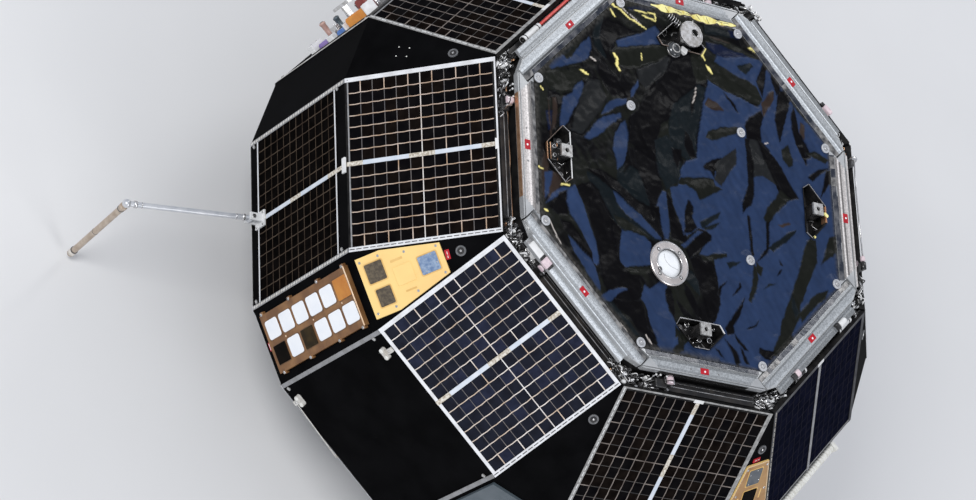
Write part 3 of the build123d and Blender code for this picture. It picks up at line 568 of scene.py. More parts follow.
# Finish of the ribbons, the cross lines and the middle line for each choice of cells; those of dusk, shaded
# and sunless are dimmed as painted shade
ribbon_finishes = {dark: (0, 1, 2), dusk: (5, 6, 5), navy: (7, 1, 2), shaded: (3, 3, 3), sunless: (4, 4, 4)}
# Choice of cells for each side's sloped panels; dusk on sides 4 and 7 and shaded on side 8 are painted shade
palette_of = {1: dark, 2: navy, 3: dark, 4: dusk, 5: dark, 6: navy, 7: dusk, 8: shaded}
slope_field = (end_strip - half_slope, half_slope - end_strip)
side_field = (-133.0, 125.3)
# From an upright panel's cells to the middle of the white strips at their ends
field_to_strip = 2.0


def cell_field(cells, wires, place, x_range, y_range, tints, chance):
    """Rows of cells, with wavy ribbons between the rows and cross lines between the columns."""
    left, right = x_range
    low, high = y_range
    across = (right - left) / cell_rows
    length = (high - low) / cell_columns
    margin = cell_gap / 2
    ribbon, line, middle_line = ribbon_finishes[tints]
    for row in range(cell_rows):
        for column in range(cell_columns):
            x, y = left + row * across, low + column * length
            cells.box(place, (x + margin, x + across - margin), (y + margin, y + length - margin), (0, 0.7),
                      chance.choice(tints), 0.25)
    for row in range(1, cell_rows):
        x = left + row * across
        points = []
        for column in range(cell_columns):
            y = low + column * length
            points.append((x - 0.5 + chance.uniform(-0.15, 0.15), y))
            points.append((x + 0.3 + chance.uniform(-0.2, 0.2), y + length / 2))
        wires.ribbon(place, points + [(x - 0.5, high)], ribbon_width, 0.3, 1.0, ribbon)
    for column in range(1, cell_columns):
        y = low + column * length
        half, finish = (0.85, middle_line) if column == cell_columns // 2 else (0.6, line)
        wires.box(place, x_range, (y - half, y + half), (0.2, 0.8), finish)


def bright_crosses(wires, place, x_range, y_range, outer_end, finish):
    """Short bright cross lines in the outer row and, fewer, in the row by the middle strip."""
    left, right = x_range
    low, high = y_range
    across = (right - left) / cell_rows
    length = (high - low) / cell_columns
    starts = (right - across, left) if outer_end > 0 else (left, right - across)
    for start, columns, half in zip(starts, ((1, 3, 5, 7, 9, 11), (4, 8, 10)), (0.9, 0.8)):
        for column in columns:
            y = low + column * length
            wires.box(place, (start, start + across), (y - half, y + half), (0.8, 1.1), finish)


def panel_cells(name, y_range, panels):
    """Cells and ribbons of some panels, given as pairs of a frame and a choice of cells."""
    chance = random.Random(len(name))
    cells = Build("cell_dark", "cell_brown", "cell_navy", "cell_blue", "cell_shaded", "cell_sunless")
    wires = Build("ribbon_tan", "ribbon_dim", "ribbon_pale", "ribbon_shaded", "ribbon_sunless", "ribbon_dusk",
                  "ribbon_faint", "ribbon_cream")
    for place, palette in panels:
        for end in (-1, 1):
            x_range = tuple(sorted((end * side_strip / 2, end * (half_width - side_strip))))
            cell_field(cells, wires, place, x_range, y_range, palette, chance)
            if palette not in (shaded, sunless):
                bright_crosses(wires, place, x_range, y_range, end, ribbon_finishes[palette][0])
    cells.piece(f"{name}_cells")
    wires.piece(f"{name}_ribbons")


for name, up in (("upper", 1), ("lower", -1)):
    panel_cells(name, slope_field, [(slope_frame(side, up), palette_of[side]) for side in all_sides])
# the upright panels all take the sunless cells and ribbons, a painted shade
panel_cells("side", side_field, [(side_frame(side), sunless) for side in odd_sides])

# Strips between and around the cells
# Finish of a sloped panel's strips where it isn't white, and of the dashes at its ends; the dim strips of
# sides 4 and 7 and the shaded strips of side 8 are painted shade
strip_rims = {4: 6, 7: 6, 8: 5}
strip_dashes = {(4, 1): 7, (5, 1): 4, (6, 1): 4, (7, -1): 7, (8, -1): 2}
# Parts of the middle strip: start and end from the inner edge, finish
middle_parts = ((6.5, 30.0, 2), (30.0, 112.0, 1), (112.0, 158.0, 2), (158.0, 240.0, 1), (240.0, 269.0, 2))
# The same on an upright panel, as heights
upright_parts = ((100, 150, 2), (10, 100, 1), (-25, 10, 2), (-110, -25, 1), (-133, -110, 2))
strip_edge = half_width - side_strip / 2


def grooved_strip(build, place, centre, finish, dashes):
    """Two bands with a groove between them; dashes lie in the groove where asked."""
    half = side_strip / 2
    y_range = (-half_slope, half_slope)
    groove, top = strip_rise + 0.3, strip_rise + 0.9
    build.box(place, (centre - half, centre + half), y_range, (strip_rise, groove), finish)
    for end in (-half, half):
        band = sorted((centre + end, centre + end / 5))
        build.box(place, band, y_range, (groove, top), finish, 0.2)
    if dashes:
        count = int(slope_length / 12.0)
        for index in range(count):
            y = (index + 0.1) * slope_length / count - half_slope
            build.box(place, (centre - 0.8, centre + 0.8), (y, y + 9.0), (groove, top + 0.1), dashes)


def strips_of_slope(build, side, up):
    place = slope_frame(side, up)
    rim = strip_rims.get(side, 0)
    for end in (-1, 1):
        dashes = strip_dashes.get((side, end), 0) if up > 0 else 0
        grooved_strip(build, place, end * strip_edge, rim, dashes)
    whole = (-half_width, half_width)
    narrow = 3.6 if side % 2 else 0.0
    inner = sorted((up * (half_slope - end_strip + narrow), up * half_slope))
    build.box(place, whole, inner, (strip_rise, strip_rise + 0.8), rim, 0.3)
    reach, finish = (end_strip - 0.6, 0) if side == 6 else (2.6, 3)
    outer = sorted((up * (end_strip - half_slope), up * (end_strip - half_slope - reach)))
    build.box(place, whole, outer, (strip_rise, strip_rise + 0.5), finish, 0.2)
    middle = (-side_strip / 2, side_strip / 2)
    for start, end, finish in middle_parts:
        y_range = sorted((up * (half_slope - start), up * (half_slope - end)))
        # side 8's middle strip is grey, a painted shade
        build.box(place, middle, y_range, (strip_rise, strip_rise + 0.7), 3 if side == 8 else finish, 0.25)


def beads(build, place, centre):
    """Row of slanted beads on an upright strip."""
    length = side_height - 4.0
    count = int(length / 8.4)
    for index in range(count):
        y = (index + 0.5) * length / count - length / 2
        spot = turned(shifted(place, centre, y, strip_rise + 0.5), 24)
        build.box(spot, (-2.0, 2.0), (-2.7, 2.7), (0, 0.9), 3, 0.5)


def panel_strips():
    strips = Build("strip_white", "strip_blue", "strip_beige", "strip_grey", "groove_dark", "strip_shaded",
                   "strip_dim", "dash_white")
    for side in all_sides:
        for up in (-1, 1):
            strips_of_slope(strips, side, up)
    strips.piece("slope_strips")
    strips = Build("strip_grey", "strip_blue", "strip_beige", "bead_pale", "strip_white")
    half = side_strip / 2
    whole = (side_strip - half_width, half_width - side_strip)
    for side in all_sides:
        place = side_frame(side)
        for edge in (-strip_edge, strip_edge):
            x_range = (edge - half, edge + half)
            strips.box(place, x_range, (-half_side, half_side), (strip_rise, strip_rise + 0.5), 0, 0.2)
            if side not in (2, 6):
                beads(strips, place, edge)
        if side in odd_sides:
            for y in (side_field[1] + field_to_strip, side_field[0] - field_to_strip):
                strips.box(place, whole, (y - 1.6, y + 1.6), (strip_rise, strip_rise + 0.6), 4)
            for low, high, finish in upright_parts:
                strips.box(place, (-half, half), (low, high), (strip_rise, strip_rise + 0.8), finish, 0.25)
    strips.piece("side_strips")


panel_strips()


# Crumpled blanket
def blanket_openings():
    """Outlines of the four openings, each anticlockwise."""
    outlines = []
    for index in range(4):
        place = level_frame(index * 90, 0)
        one = list(zip(opening_radii, opening_halves))
        other = [(radius, -half) for radius, half in reversed(one)]
        points = [place @ Vector((x, y, 0)) for x, y in one + other]
        outlines.append([(point.x, point.y) for point in points])
    return outlines


def inside(point, outline):
    """True if a point lies in an outline."""
    x, y = point
    odd = False
    for index in range(len(outline)):
        (ax, ay), (bx, by) = outline[index - 1], outline[index]
        if (ay > y) != (by > y) and x < (bx - ax) * (y - ay) / (by - ay) + ax:
            odd = not odd
    return odd


def octagon(apothem):
    reach = apothem / cos(radians(half_step))
    return [tuple((out_of(index * side_step + half_step) * reach).xy) for index in range(side_count)]


# Tints of the foil: dark is its own colour; navy, olive, grey, slate, blue and brown are painted reflections
# of the surroundings on its facets; pale and gold are painted highlights on its folds; edge is a painted
# sheen along its raised rim
foil_tint = {
    "dark": (0.0030, 0.0028, 0.0035),
    "navy": (0.006, 0.010, 0.030),
    "olive": (0.0095, 0.0105, 0.0085),
    "grey": (0.014, 0.015, 0.016),
    "slate": (0.0065, 0.0095, 0.0115),
    "blue": (0.021, 0.038, 0.090),
    "brown": (0.032, 0.022, 0.018),
    "edge": (0.085, 0.082, 0.076),
    "pale": (0.55, 0.50, 0.46),
    "gold": (0.93, 0.82, 0.30),
}

# Facets of the crumpled foil, as places of the photograph in its 976 by 500 pixels: a tint, then the
# x and y of each corner; a later one lies over an earlier one
# tints other than dark are painted reflections of the surroundings
photo_facets = [
    ("blue", 708, 80, 697, 142, 697, 158, 686, 161, 680, 170, 678, 186, 670, 188, 674, 206, 686, 236, 700,
     228, 712, 234, 700, 254, 714, 258, 720, 300, 716, 322, 700, 330, 680, 350, 700, 362, 740, 372, 766,
     374, 800, 350, 850, 300, 850, 160, 800, 98, 766, 60, 740, 52, 716, 54, 712, 70, 760, 100, 758, 108,
     720, 88),
    ("blue", 645, 284, 650, 288, 660, 282, 667, 285, 667, 300, 669, 310, 680, 330, 684, 345, 700, 356,
     655, 352, 658, 344, 645, 304, 641, 298),
    ("dark", 690, 48, 700, 62, 697, 90, 680, 112, 660, 125, 655, 160, 628, 142, 628, 118, 637, 110, 648,
     90, 662, 78, 672, 60),
    ("grey", 636, 70, 670, 56, 667, 70, 646, 88, 639, 82),
    ("slate", 700, 84, 706, 90, 696, 140, 696, 158, 686, 160, 676, 150, 670, 138, 668, 122, 672, 106, 680,
     98),
    ("slate", 655, 140, 668, 136, 682, 160, 678, 182, 666, 190, 660, 176, 656, 158),
    ("dark", 672, 148, 681, 150, 682, 160, 678, 168, 674, 160),
    ("dark", 696, 86, 698, 92, 692, 116, 691, 104),
    ("dark", 684, 130, 692, 140, 696, 158, 690, 158, 684, 146),
    ("olive", 546, 72, 578, 68, 592, 75, 572, 90, 560, 94, 552, 88, 546, 80),
    ("dark", 548, 88, 560, 94, 562, 104, 557, 110, 553, 97, 548, 100),
    ("grey", 588, 78, 600, 80, 606, 98, 600, 110, 582, 134, 572, 130, 574, 115),
    ("dark", 600, 60, 616, 76, 624, 90, 626, 97, 612, 96, 597, 70),
    ("dark", 604, 14, 612, 20, 640, 33, 616, 40, 612, 50, 606, 58, 600, 50, 599, 38),
    ("blue", 548, 67, 557, 56, 563, 53, 566, 58, 571, 57, 583, 41, 590, 37, 591, 48, 588, 58, 580, 62,
     552, 69),
    ("slate", 556, 58, 573, 41, 573, 47, 568, 53),
    ("slate", 597, 17, 604, 13, 599, 38, 592, 36),
    ("slate", 592, 36, 599, 38, 607, 60, 594, 46),
    ("blue", 616, 41, 640, 34, 648, 28, 655, 26, 660, 32, 658, 37, 664, 44, 618, 47),
    ("navy", 626, 8, 640, 5, 656, 9, 640, 12),
    ("olive", 608, 52, 618, 48, 665, 45, 669, 54, 655, 62, 640, 67, 628, 67, 618, 64),
    ("blue", 583, 80, 576, 84, 572, 92, 563, 97, 559, 120, 561, 128, 566, 125, 581, 95, 584, 85),
    ("navy", 546, 110, 552, 110, 551, 128, 548, 131),
    ("brown", 552, 98, 556, 98, 557, 112, 555, 128, 552, 130),
    ("blue", 608, 102, 616, 99, 626, 99, 626, 104, 617, 106, 608, 112, 601, 114),
    ("blue", 621, 112, 622, 116, 596, 137, 588, 139, 584, 137, 597, 121, 604, 116),
    ("blue", 625, 119, 628, 135, 627, 150, 624, 162, 618, 171, 613, 148, 615, 136, 620, 124),
    ("slate", 619, 168, 616, 178, 621, 178, 626, 162),
    ("blue", 638, 79, 638, 86, 634, 96, 631, 98, 631, 91),
    ("slate", 586, 170, 600, 177, 615, 188, 662, 238, 654, 241, 640, 238, 622, 229, 609, 214, 590, 181),
    ("blue", 613, 190, 640, 215, 662, 240, 655, 239, 626, 214, 617, 201),
    ("olive", 614, 214, 624, 218, 646, 234, 650, 240, 626, 230, 618, 224),
    ("dark", 585, 167, 605, 171, 640, 196, 656, 210, 662, 224, 666, 239, 660, 237, 648, 222, 628, 203),
    ("slate", 617, 180, 630, 165, 638, 170, 651, 207, 640, 202),
    ("dark", 634, 148, 650, 148, 658, 165, 662, 190, 656, 205, 650, 207, 648, 195, 640, 175),
    ("brown", 544, 150, 549, 165, 545, 200, 541, 190, 540, 165),
    ("blue", 545, 172, 552, 171, 557, 178, 545, 199),
    ("brown", 553, 171, 562, 177, 560, 186, 547, 202),
    ("blue", 545, 204, 552, 193, 560, 187, 571, 187),
    ("dark", 548, 206, 560, 192, 568, 190, 568, 214, 558, 214),
    ("blue", 568, 189, 575, 185, 582, 200, 599, 251, 600, 262, 597, 265, 593, 262, 592, 250, 570, 213,
     567, 202),
    ("dark", 571, 222, 592, 252, 593, 262, 586, 252, 564, 228, 560, 218),
    ("blue", 569, 235, 590, 258, 596, 268, 600, 291, 597, 289, 572, 247),
    ("blue", 622, 230, 632, 232, 645, 238, 651, 243, 651, 265, 625, 267, 619, 260),
    ("dark", 590, 180, 600, 190, 612, 215, 613, 232, 620, 262, 628, 270, 640, 272, 640, 280, 643, 292,
     640, 300, 628, 302, 611, 300, 603, 285, 598, 246, 586, 206, 576, 186),
    ("olive", 625, 268, 652, 266, 650, 272, 640, 276, 630, 274),
    ("blue", 601, 296, 608, 290, 622, 287, 628, 289, 619, 293, 613, 299, 610, 305, 605, 305),
    ("blue", 656, 205, 662, 191, 666, 192, 670, 230, 669, 240, 664, 239),
    ("dark", 666, 191, 671, 198, 678, 220, 690, 244, 672, 239),
    ("blue", 671, 188, 690, 187, 692, 196, 688, 205, 686, 230, 684, 235, 673, 200),
    ("dark", 652, 207, 658, 206, 665, 238, 659, 236, 654, 222),
    ("slate", 702, 22, 739, 28, 741, 34, 735, 40, 722, 36, 704, 34),
    ("navy", 726, 28, 733, 33, 739, 40, 730, 38),
    ("olive", 703, 35, 730, 42, 764, 61, 750, 58, 715, 43),
    ("navy", 706, 42, 720, 45, 748, 57, 722, 58, 713, 54, 706, 47),
    ("slate", 736, 66, 750, 63, 753, 67, 745, 75, 738, 70),
    ("olive", 716, 63, 736, 77, 748, 82, 757, 89, 762, 100, 759, 106, 748, 102, 708, 80, 698, 84, 694, 74,
     690, 52, 698, 54),
    ("dark", 763, 63, 769, 64, 765, 74, 762, 98, 756, 82),
    ("dark", 770, 68, 777, 78, 780, 90, 776, 97, 770, 80),
    ("brown", 768, 92, 773, 92, 773, 100, 763, 117, 761, 104),
    ("dark", 778, 90, 785, 92, 790, 101, 779, 144, 774, 120),
    ("slate", 766, 62, 790, 84, 800, 98, 792, 98, 776, 80),
    ("dark", 790, 115, 793, 107, 799, 134, 806, 146, 811, 159, 803, 159, 796, 145, 791, 130),
    ("brown", 800, 122, 804, 126, 804, 141, 799, 134),
    ("slate", 788, 96, 797, 101, 830, 139, 822, 136, 806, 123, 793, 107),
    ("brown", 708, 98, 716, 102, 723, 112, 712, 110, 705, 105),
    ("olive", 709, 131, 720, 127, 737, 127, 736, 134, 712, 141, 705, 138),
    ("dark", 723, 91, 735, 106, 738, 114, 727, 100),
    ("dark", 744, 126, 749, 117, 761, 111, 763, 117, 759, 130, 761, 142, 769, 150, 772, 160, 762, 160,
     746, 140),
    ("grey", 750, 139, 757, 141, 781, 190, 762, 176, 753, 177),
    ("dark", 744, 139, 750, 139, 754, 175, 754, 195, 751, 206, 746, 208, 743, 214, 741, 204, 748, 186),
    ("dark", 756, 138, 775, 160, 799, 199, 788, 201, 780, 196, 764, 161),
    ("olive", 780, 190, 791, 199, 776, 214, 768, 225, 763, 218, 767, 208),
    ("dark", 766, 222, 770, 222, 770, 248, 764, 257, 756, 263, 767, 247),
    ("dark", 748, 214, 751, 216, 754, 256, 751, 256),
    ("olive", 680, 177, 713, 178, 715, 186, 722, 190, 700, 200, 695, 191, 686, 185, 678, 184),
    ("grey", 710, 166, 720, 158, 736, 149, 737, 165, 724, 180, 721, 187, 714, 180, 716, 172),
    ("dark", 703, 166, 712, 160, 721, 157, 716, 165, 714, 178, 710, 171, 705, 170),
    ("dark", 689, 199, 694, 206, 693, 218, 698, 228, 692, 232, 684, 233, 686, 208),
    ("dark", 699, 228, 708, 231, 713, 236, 711, 241, 690, 259, 685, 250, 698, 236),
    ("blue", 681, 245, 698, 231, 703, 232, 684, 248),
    ("dark", 690, 258, 700, 255, 713, 262, 716, 270, 722, 304, 716, 322, 711, 322),
    ("olive", 702, 255, 727, 253, 727, 257, 716, 260, 704, 260),
    ("slate", 700, 222, 721, 211, 719, 218, 703, 228),
    ("slate", 704, 227, 721, 222, 716, 228, 706, 230),
    ("slate", 769, 247, 790, 232, 797, 230, 792, 237, 774, 252),
    ("brown", 779, 226, 788, 222, 791, 224, 783, 228),
    ("olive", 811, 238, 816, 240, 817, 262, 801, 306, 801, 318, 793, 334, 790, 344, 776, 356, 769, 357,
     774, 350, 781, 334, 782, 322, 795, 285, 807, 242),
    ("slate", 792, 295, 800, 312, 797, 319, 793, 308),
    ("olive", 800, 313, 812, 298, 820, 292, 829, 290, 826, 298, 810, 312, 802, 323),
    ("olive", 829, 238, 837, 236, 839, 246, 834, 256, 821, 264, 826, 252),
    ("dark", 803, 146, 807, 158, 806, 167, 798, 147),
    ("olive", 781, 149, 788, 145, 792, 158, 792, 166, 788, 168, 782, 160),
    ("olive", 806, 153, 815, 152, 828, 160, 825, 164, 812, 158),
    ("dark", 807, 177, 818, 170, 829, 168, 812, 182),
    ("dark", 826, 170, 832, 172, 830, 184, 820, 199),
    ("brown", 836, 150, 840, 165, 845, 216, 840, 210, 837, 185),
    ("slate", 727, 262, 742, 261, 736, 266, 730, 269),
    ("olive", 753, 265, 757, 267, 759, 280, 757, 292, 752, 303, 749, 300, 753, 285),
    ("olive", 756, 262, 764, 268, 762, 277, 757, 270),
    ("dark", 776, 276, 779, 271, 783, 269, 780, 274),
    ("dark", 779, 259, 784, 266, 781, 266),
    ("dark", 717, 294, 720, 286, 727, 281, 722, 289, 721, 298),
    ("dark", 740, 281, 742, 286, 739, 292, 732, 297, 737, 290),
    ("slate", 764, 289, 769, 284, 777, 283, 770, 287),
    ("dark", 612, 299, 628, 302, 641, 300, 650, 330, 660, 351, 650, 352, 630, 318),
    ("slate", 602, 300, 612, 301, 622, 312, 640, 337, 634, 335, 622, 319),
    ("dark", 666, 288, 671, 289, 674, 300, 675, 322, 667, 302),
    ("dark", 676, 299, 692, 317, 684, 317, 680, 310),
    ("dark", 684, 283, 690, 289, 701, 312, 701, 319, 695, 314, 685, 294),
    ("slate", 682, 268, 692, 270, 699, 282, 700, 296, 686, 280),
    ("dark", 745, 297, 739, 318, 734, 325, 735, 333, 728, 335, 725, 328),
    ("dark", 725, 338, 738, 352, 742, 363, 737, 367, 734, 356),
    ("dark", 735, 333, 749, 351, 744, 349, 737, 340),
    ("dark", 740, 345, 751, 365, 747, 364, 742, 354),
    ("dark", 715, 347, 720, 351, 725, 359, 720, 355),
    ("olive", 675, 325, 680, 330, 684, 340, 683, 351, 676, 354, 671, 351, 675, 342),
    ("blue", 673, 341, 677, 336, 677, 344, 672, 350),
    ("dark", 760, 347, 776, 352, 771, 361, 764, 358, 759, 352),
    ("dark", 747, 328, 756, 325, 761, 319, 757, 327, 750, 329),
]

# Folds that catch the light, also in those pixels, where gold and pale are painted highlights and brown is a
# painted reflection: a tint, start x, y, end x, y, half width in millimetres
photo_folds = [
    ("gold", 608, 7, 616, 18, 1.6), ("gold", 607, 0, 616, 8, 1.8), ("gold", 615, 7, 631, 19, 1.6),
    ("gold", 629, 18, 646, 29, 1.6), ("pale", 617, 5, 629, 14, 1.1), ("pale", 628, 13, 642, 26, 1.0),
    ("gold", 634, 10, 647, 13, 1.3), ("gold", 647, 12, 655, 15, 1.3), ("gold", 654, 13, 656, 21, 1.5),
    ("gold", 641, 14, 656, 22, 1.5), ("gold", 640, 2, 648, 3, 1.8), ("gold", 648, 5, 660, 8, 1.8),
    ("gold", 658, 7, 674, 9, 4.0), ("gold", 674, 11, 688, 12, 2.2), ("pale", 682, 15, 685, 18, 1.6),
    ("gold", 613, 53, 618, 60, 2.6), ("gold", 617, 57, 617, 67, 2.8), ("gold", 617, 65, 621, 72, 1.8),
    ("gold", 641, 54, 643, 61, 1.2), ("pale", 589, 56, 597, 61, 1.4), ("gold", 579, 69, 589, 75, 2.0),
    ("gold", 539, 85, 543, 91, 1.2), ("gold", 692, 15, 714, 19, 3.4), ("gold", 704, 20, 724, 21, 2.2),
    ("gold", 723, 21, 736, 24, 2.4), ("brown", 707, 36, 731, 44, 1.4), ("gold", 747, 47, 757, 54, 1.4),
    ("gold", 754, 52, 763, 58, 1.6), ("gold", 706, 49, 701, 55, 1.8), ("gold", 701, 54, 706, 62, 2.0),
    ("gold", 706, 65, 713, 73, 2.8), ("pale", 697, 87, 693, 103, 1.1), ("brown", 761, 101, 764, 117, 1.2),
    ("pale", 763, 145, 769, 143, 0.9), ("gold", 560, 184, 571, 185, 1.6), ("gold", 533, 164, 544, 170, 1.4),
    ("gold", 544, 210, 549, 211, 1.6), ("pale", 646, 334, 653, 346, 1.2), ("pale", 617, 321, 628, 335, 1.4),
    ("brown", 548, 98, 552, 150, 1.4), ("pale", 545, 215, 562, 246, 1.2), ("brown", 562, 246, 602, 302, 1.2),
]


def on_foil(pixel_x, pixel_y):
    """Place on the foil, in millimetres, that a pixel of the photograph shows."""
    aim = (
        camera_forward
        + camera_right * ((pixel_x - picture_width / 2) * pixel_slope)
        + camera_down * ((pixel_y - picture_height / 2) * pixel_slope)
    )
    place = camera_place + aim * (((deck_face + blanket_thickness * 0.7) * metres - camera_place.z) / aim.z)
    return place.x / metres, place.y / metres


# Half the width of the grid of points, and how far from the middle the sheet can reach
grid_half = 380.0
blanket_reach = 372.0
# Where the openings lie: at most this far from an axis, and between these distances along it
opening_zone = (54.0, 240.0, 310.0)


def blanket_points(outer, holes, spacing):
    """Points of the sheet and the edges that its outlines must keep."""
    points, edges = [], []
    for outline in [outer] + holes:
        first = len(points)
        for index, (x, y) in enumerate(outline):
            next_x, next_y = outline[(index + 1) % len(outline)]
            parts = max(1, round(hypot(next_x - x, next_y - y) / spacing))
            for part in range(parts):
                points.append(Vector((x + (next_x - x) * part / parts, y + (next_y - y) * part / parts)))
        last = len(points)
        edges += [(index, index + 1 if index + 1 < last else first) for index in range(first, last)]
    drawn_in = inset(outer, spacing * 0.7)
    widened = [inset(hole, -spacing * 0.7) for hole in holes[:4]]
    row_height = spacing * 0.866
    for row in range(int(2 * grid_half / row_height)):
        y = row * row_height - grid_half
        for column in range(int(2 * grid_half / spacing)):
            x = (column + row % 2 / 2) * spacing - grid_half
            reach = hypot(x, y)
            if reach > blanket_reach or (reach > blanket_apothem - 9 and not inside((x, y), drawn_in)):
                continue
            if hypot(x - window_place[0], y - window_place[1]) < window_outer + spacing:
                continue
            near, far = sorted((abs(x), abs(y)))
            in_zone = near < opening_zone[0] and opening_zone[1] < far < opening_zone[2]
            if in_zone and any(inside((x, y), hole) for hole in widened):
                continue
            points.append(Vector((x, y)))
    return points, edges


def soft_step(value):
    value = np.clip(value, 0, 1)
    return value * value * (3 - 2 * value)


def waves(x, y, size, shift):
    """Smooth noise from about -1 to 1 with features of a size."""
    return np.array([noise.noise(Vector((a / size, b / size, shift))) for a, b in zip(x, y)]) * 1.6


def depth_inside(x, y, outline):
    """Distance of many points from an outline, positive inside it."""
    nearest = np.full(len(x), 1000.0)
    odd = np.zeros(len(x), bool)
    for (ax, ay), (bx, by) in zip(outline, outline[1:] + outline[:1]):
        step_x, step_y = bx - ax, by - ay
        share = np.clip(((x - ax) * step_x + (y - ay) * step_y) / (step_x ** 2 + step_y ** 2), 0, 1)
        nearest = np.minimum(nearest, np.hypot(x - ax - share * step_x, y - ay - share * step_y))
        crosses = (ay > y) != (by > y)
        odd ^= crosses & (x < step_x * (y - ay) / (step_y or 1.0) + ax)
    return np.where(odd, nearest, -nearest)


def blend(tint, mask, colour):
    return tint * (1 - mask[:, None]) + mask[:, None] * np.array(colour)


def foil_relief(x, y):
    """Tint and height of the foil at many points; the tint holds painted reflections on the facets and
    painted highlights on ridges, creases and folds.
    """
    slow = waves(x, y, 30, 1.0)
    slow_too = waves(x, y, 30, 5.0)
    quick = waves(x, y, 9, 2.0)
    quick_too = waves(x, y, 9, 7.0)
    bent_x = x + 1.3 * slow + 1.0 * quick
    bent_y = y + 1.3 * slow_too + 1.0 * quick_too
    streaks = waves(x * 0.8 + y * 0.6, (y * 0.8 - x * 0.6) * 0.25, 9, 4.0)
    wide = waves(x, y, 70, 8.0)
    crumple = 1 - np.abs(waves(x + 10 * slow, y + 10 * slow_too, 44, 6.0))
    rise = 5.2 + 1.6 * crumple + 0.7 * wide
    tint = np.tile(np.array(foil_tint["dark"]), (len(x), 1))
    # olive streaks over the dark base, a painted reflection
    tint = blend(tint, soft_step(0.5 + wide + 0.5 * streaks), foil_tint["olive"])
    # lighter grey along the crumple ridges, a painted sheen
    tint = blend(tint, soft_step(crumple * 6 - 5.2) * 0.5, foil_tint["grey"])
    chance = random.Random(41)
    # each facet gets its painted reflection tint and a random tilt of its height
    for name, *corners in photo_facets:
        outline = [on_foil(*pixel) for pixel in zip(corners[::2], corners[1::2])]
        centre_x = sum(point[0] for point in outline) / len(outline)
        centre_y = sum(point[1] for point in outline) / len(outline)
        depth = depth_inside(bent_x, bent_y, outline)
        mask = soft_step(depth / 2.2 + 0.5)
        shade = 1 + 0.10 * streaks + chance.uniform(-0.08, 0.08)
        tint = tint * (1 - mask[:, None]) + mask[:, None] * np.array(foil_tint[name]) * shade[:, None]
        # lighter bluish grey along each facet's edge, a painted glint on the crease
        crease = soft_step(1 - np.abs(depth - 0.6) / 1.3) * soft_step(0.2 + slow + 0.6 * quick)
        tint = blend(tint, crease * 0.10, (0.060, 0.068, 0.085))
        lean = chance.uniform(0, 2 * pi)
        tilt = (x - centre_x) * cos(lean) + (y - centre_y) * sin(lean)
        rise += mask * np.clip(tilt * 0.12, -1.3, 1.3)
    for name, start_x, start_y, end_x, end_y, half in photo_folds:
        ax, ay = on_foil(start_x, start_y)
        bx, by = on_foil(end_x, end_y)
        length = hypot(bx - ax, by - ay)
        step_x, step_y = (bx - ax) / length, (by - ay) / length
        share = ((bent_x - ax) * step_x + (bent_y - ay) * step_y) / length
        across = (bent_y - ay) * step_x - (bent_x - ax) * step_y
        taper = np.clip(np.minimum(share, 1 - share) * 3.5, 0, 1) ** 0.6
        mask = soft_step((half * taper - np.abs(across)) / 1.2 + 0.5) * (taper > 0)
        tint = blend(tint, mask, foil_tint[name])
        rise += mask * 0.5
    return tint * (1 + 0.08 * slow + 0.06 * quick)[:, None], np.clip(rise, 4.0, 8.4) + 0.25 * quick


def crumpled_blanket(spacing):
    outer = octagon(blanket_apothem)
    holes = blanket_openings()
    window = [(window_place[0] + x, window_place[1] + y) for x, y in polygon(window_outer + 0.4, 48)]
    points, edges = blanket_points(outer, holes + [window], spacing)
    corners, _, faces, _, _, _ = delaunay_2d_cdt(points, edges, [], 0, 0.001)
    kept = []
    for face in faces:
        x = sum(corners[index].x for index in face) / 3
        y = sum(corners[index].y for index in face) / 3
        near_hole = hypot(x, y) > opening_radii[2] - 5 and any(inside((x, y), hole) for hole in holes)
        if not near_hole and hypot(x - window_place[0], y - window_place[1]) > window_outer:
            kept.append(face)
    x = np.array([corner.x for corner in corners])
    y = np.array([corner.y for corner in corners])
    tint, rise = foil_relief(x, y)
    # lighter streaked band along the sheet's raised rim, a painted sheen; the painted highlights keep their
    # tint
    reach = np.max([x * cos(radians(a)) + y * sin(radians(a)) for a in map(azimuth_of, all_sides)], axis=0)
    rim_width = np.where(x > 40, 7, 15)
    rim = soft_step((reach - (blanket_apothem - rim_width)) / rim_width)
    streak = 0.55 + 0.45 * waves(x, y, 5, 3.0)
    bright = tint[:, 0] > 0.3
    edge_tint = np.array(foil_tint["edge"]) * streak[:, None]
    tint = np.where(bright[:, None], tint, tint * (1 - rim[:, None] * 0.8) + edge_tint * rim[:, None] * 0.8)
    rise = rise * (1 - rim) + rim * 8.3
    for px, py in button_places():
        near = np.clip(1 - (np.hypot(x - px, y - py) - 9) / 12, 0, 1)
        rise = rise * (1 - near) + near * 8.7
    rise = np.clip(rise, 0.4, 8.8)
    data = bpy.data.meshes.new("foil_blanket")
    spots = [(a * metres, b * metres, (deck_face + c) * metres) for a, b, c in zip(x, y, rise)]
    data.from_pydata(spots, [], kept)
    data.update()
    colours = data.color_attributes.new("tint", "FLOAT_COLOR", "POINT")
    flat = np.ones((len(spots), 4))
    flat[:, :3] = np.clip(tint, 0, 1)
    colours.data.foreach_set("color", flat.ravel())
    data.polygons.foreach_set("use_smooth", [True] * len(data.polygons))
    if data.polygons[0].normal.z < 0:
        data.flip_normals()
    data.materials.append(foil_finish())
    blanket = bpy.data.objects.new("foil_blanket", data)
    bpy.context.scene.collection.objects.link(blanket)
    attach(blanket, "body")
    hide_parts("thermal_blanket")


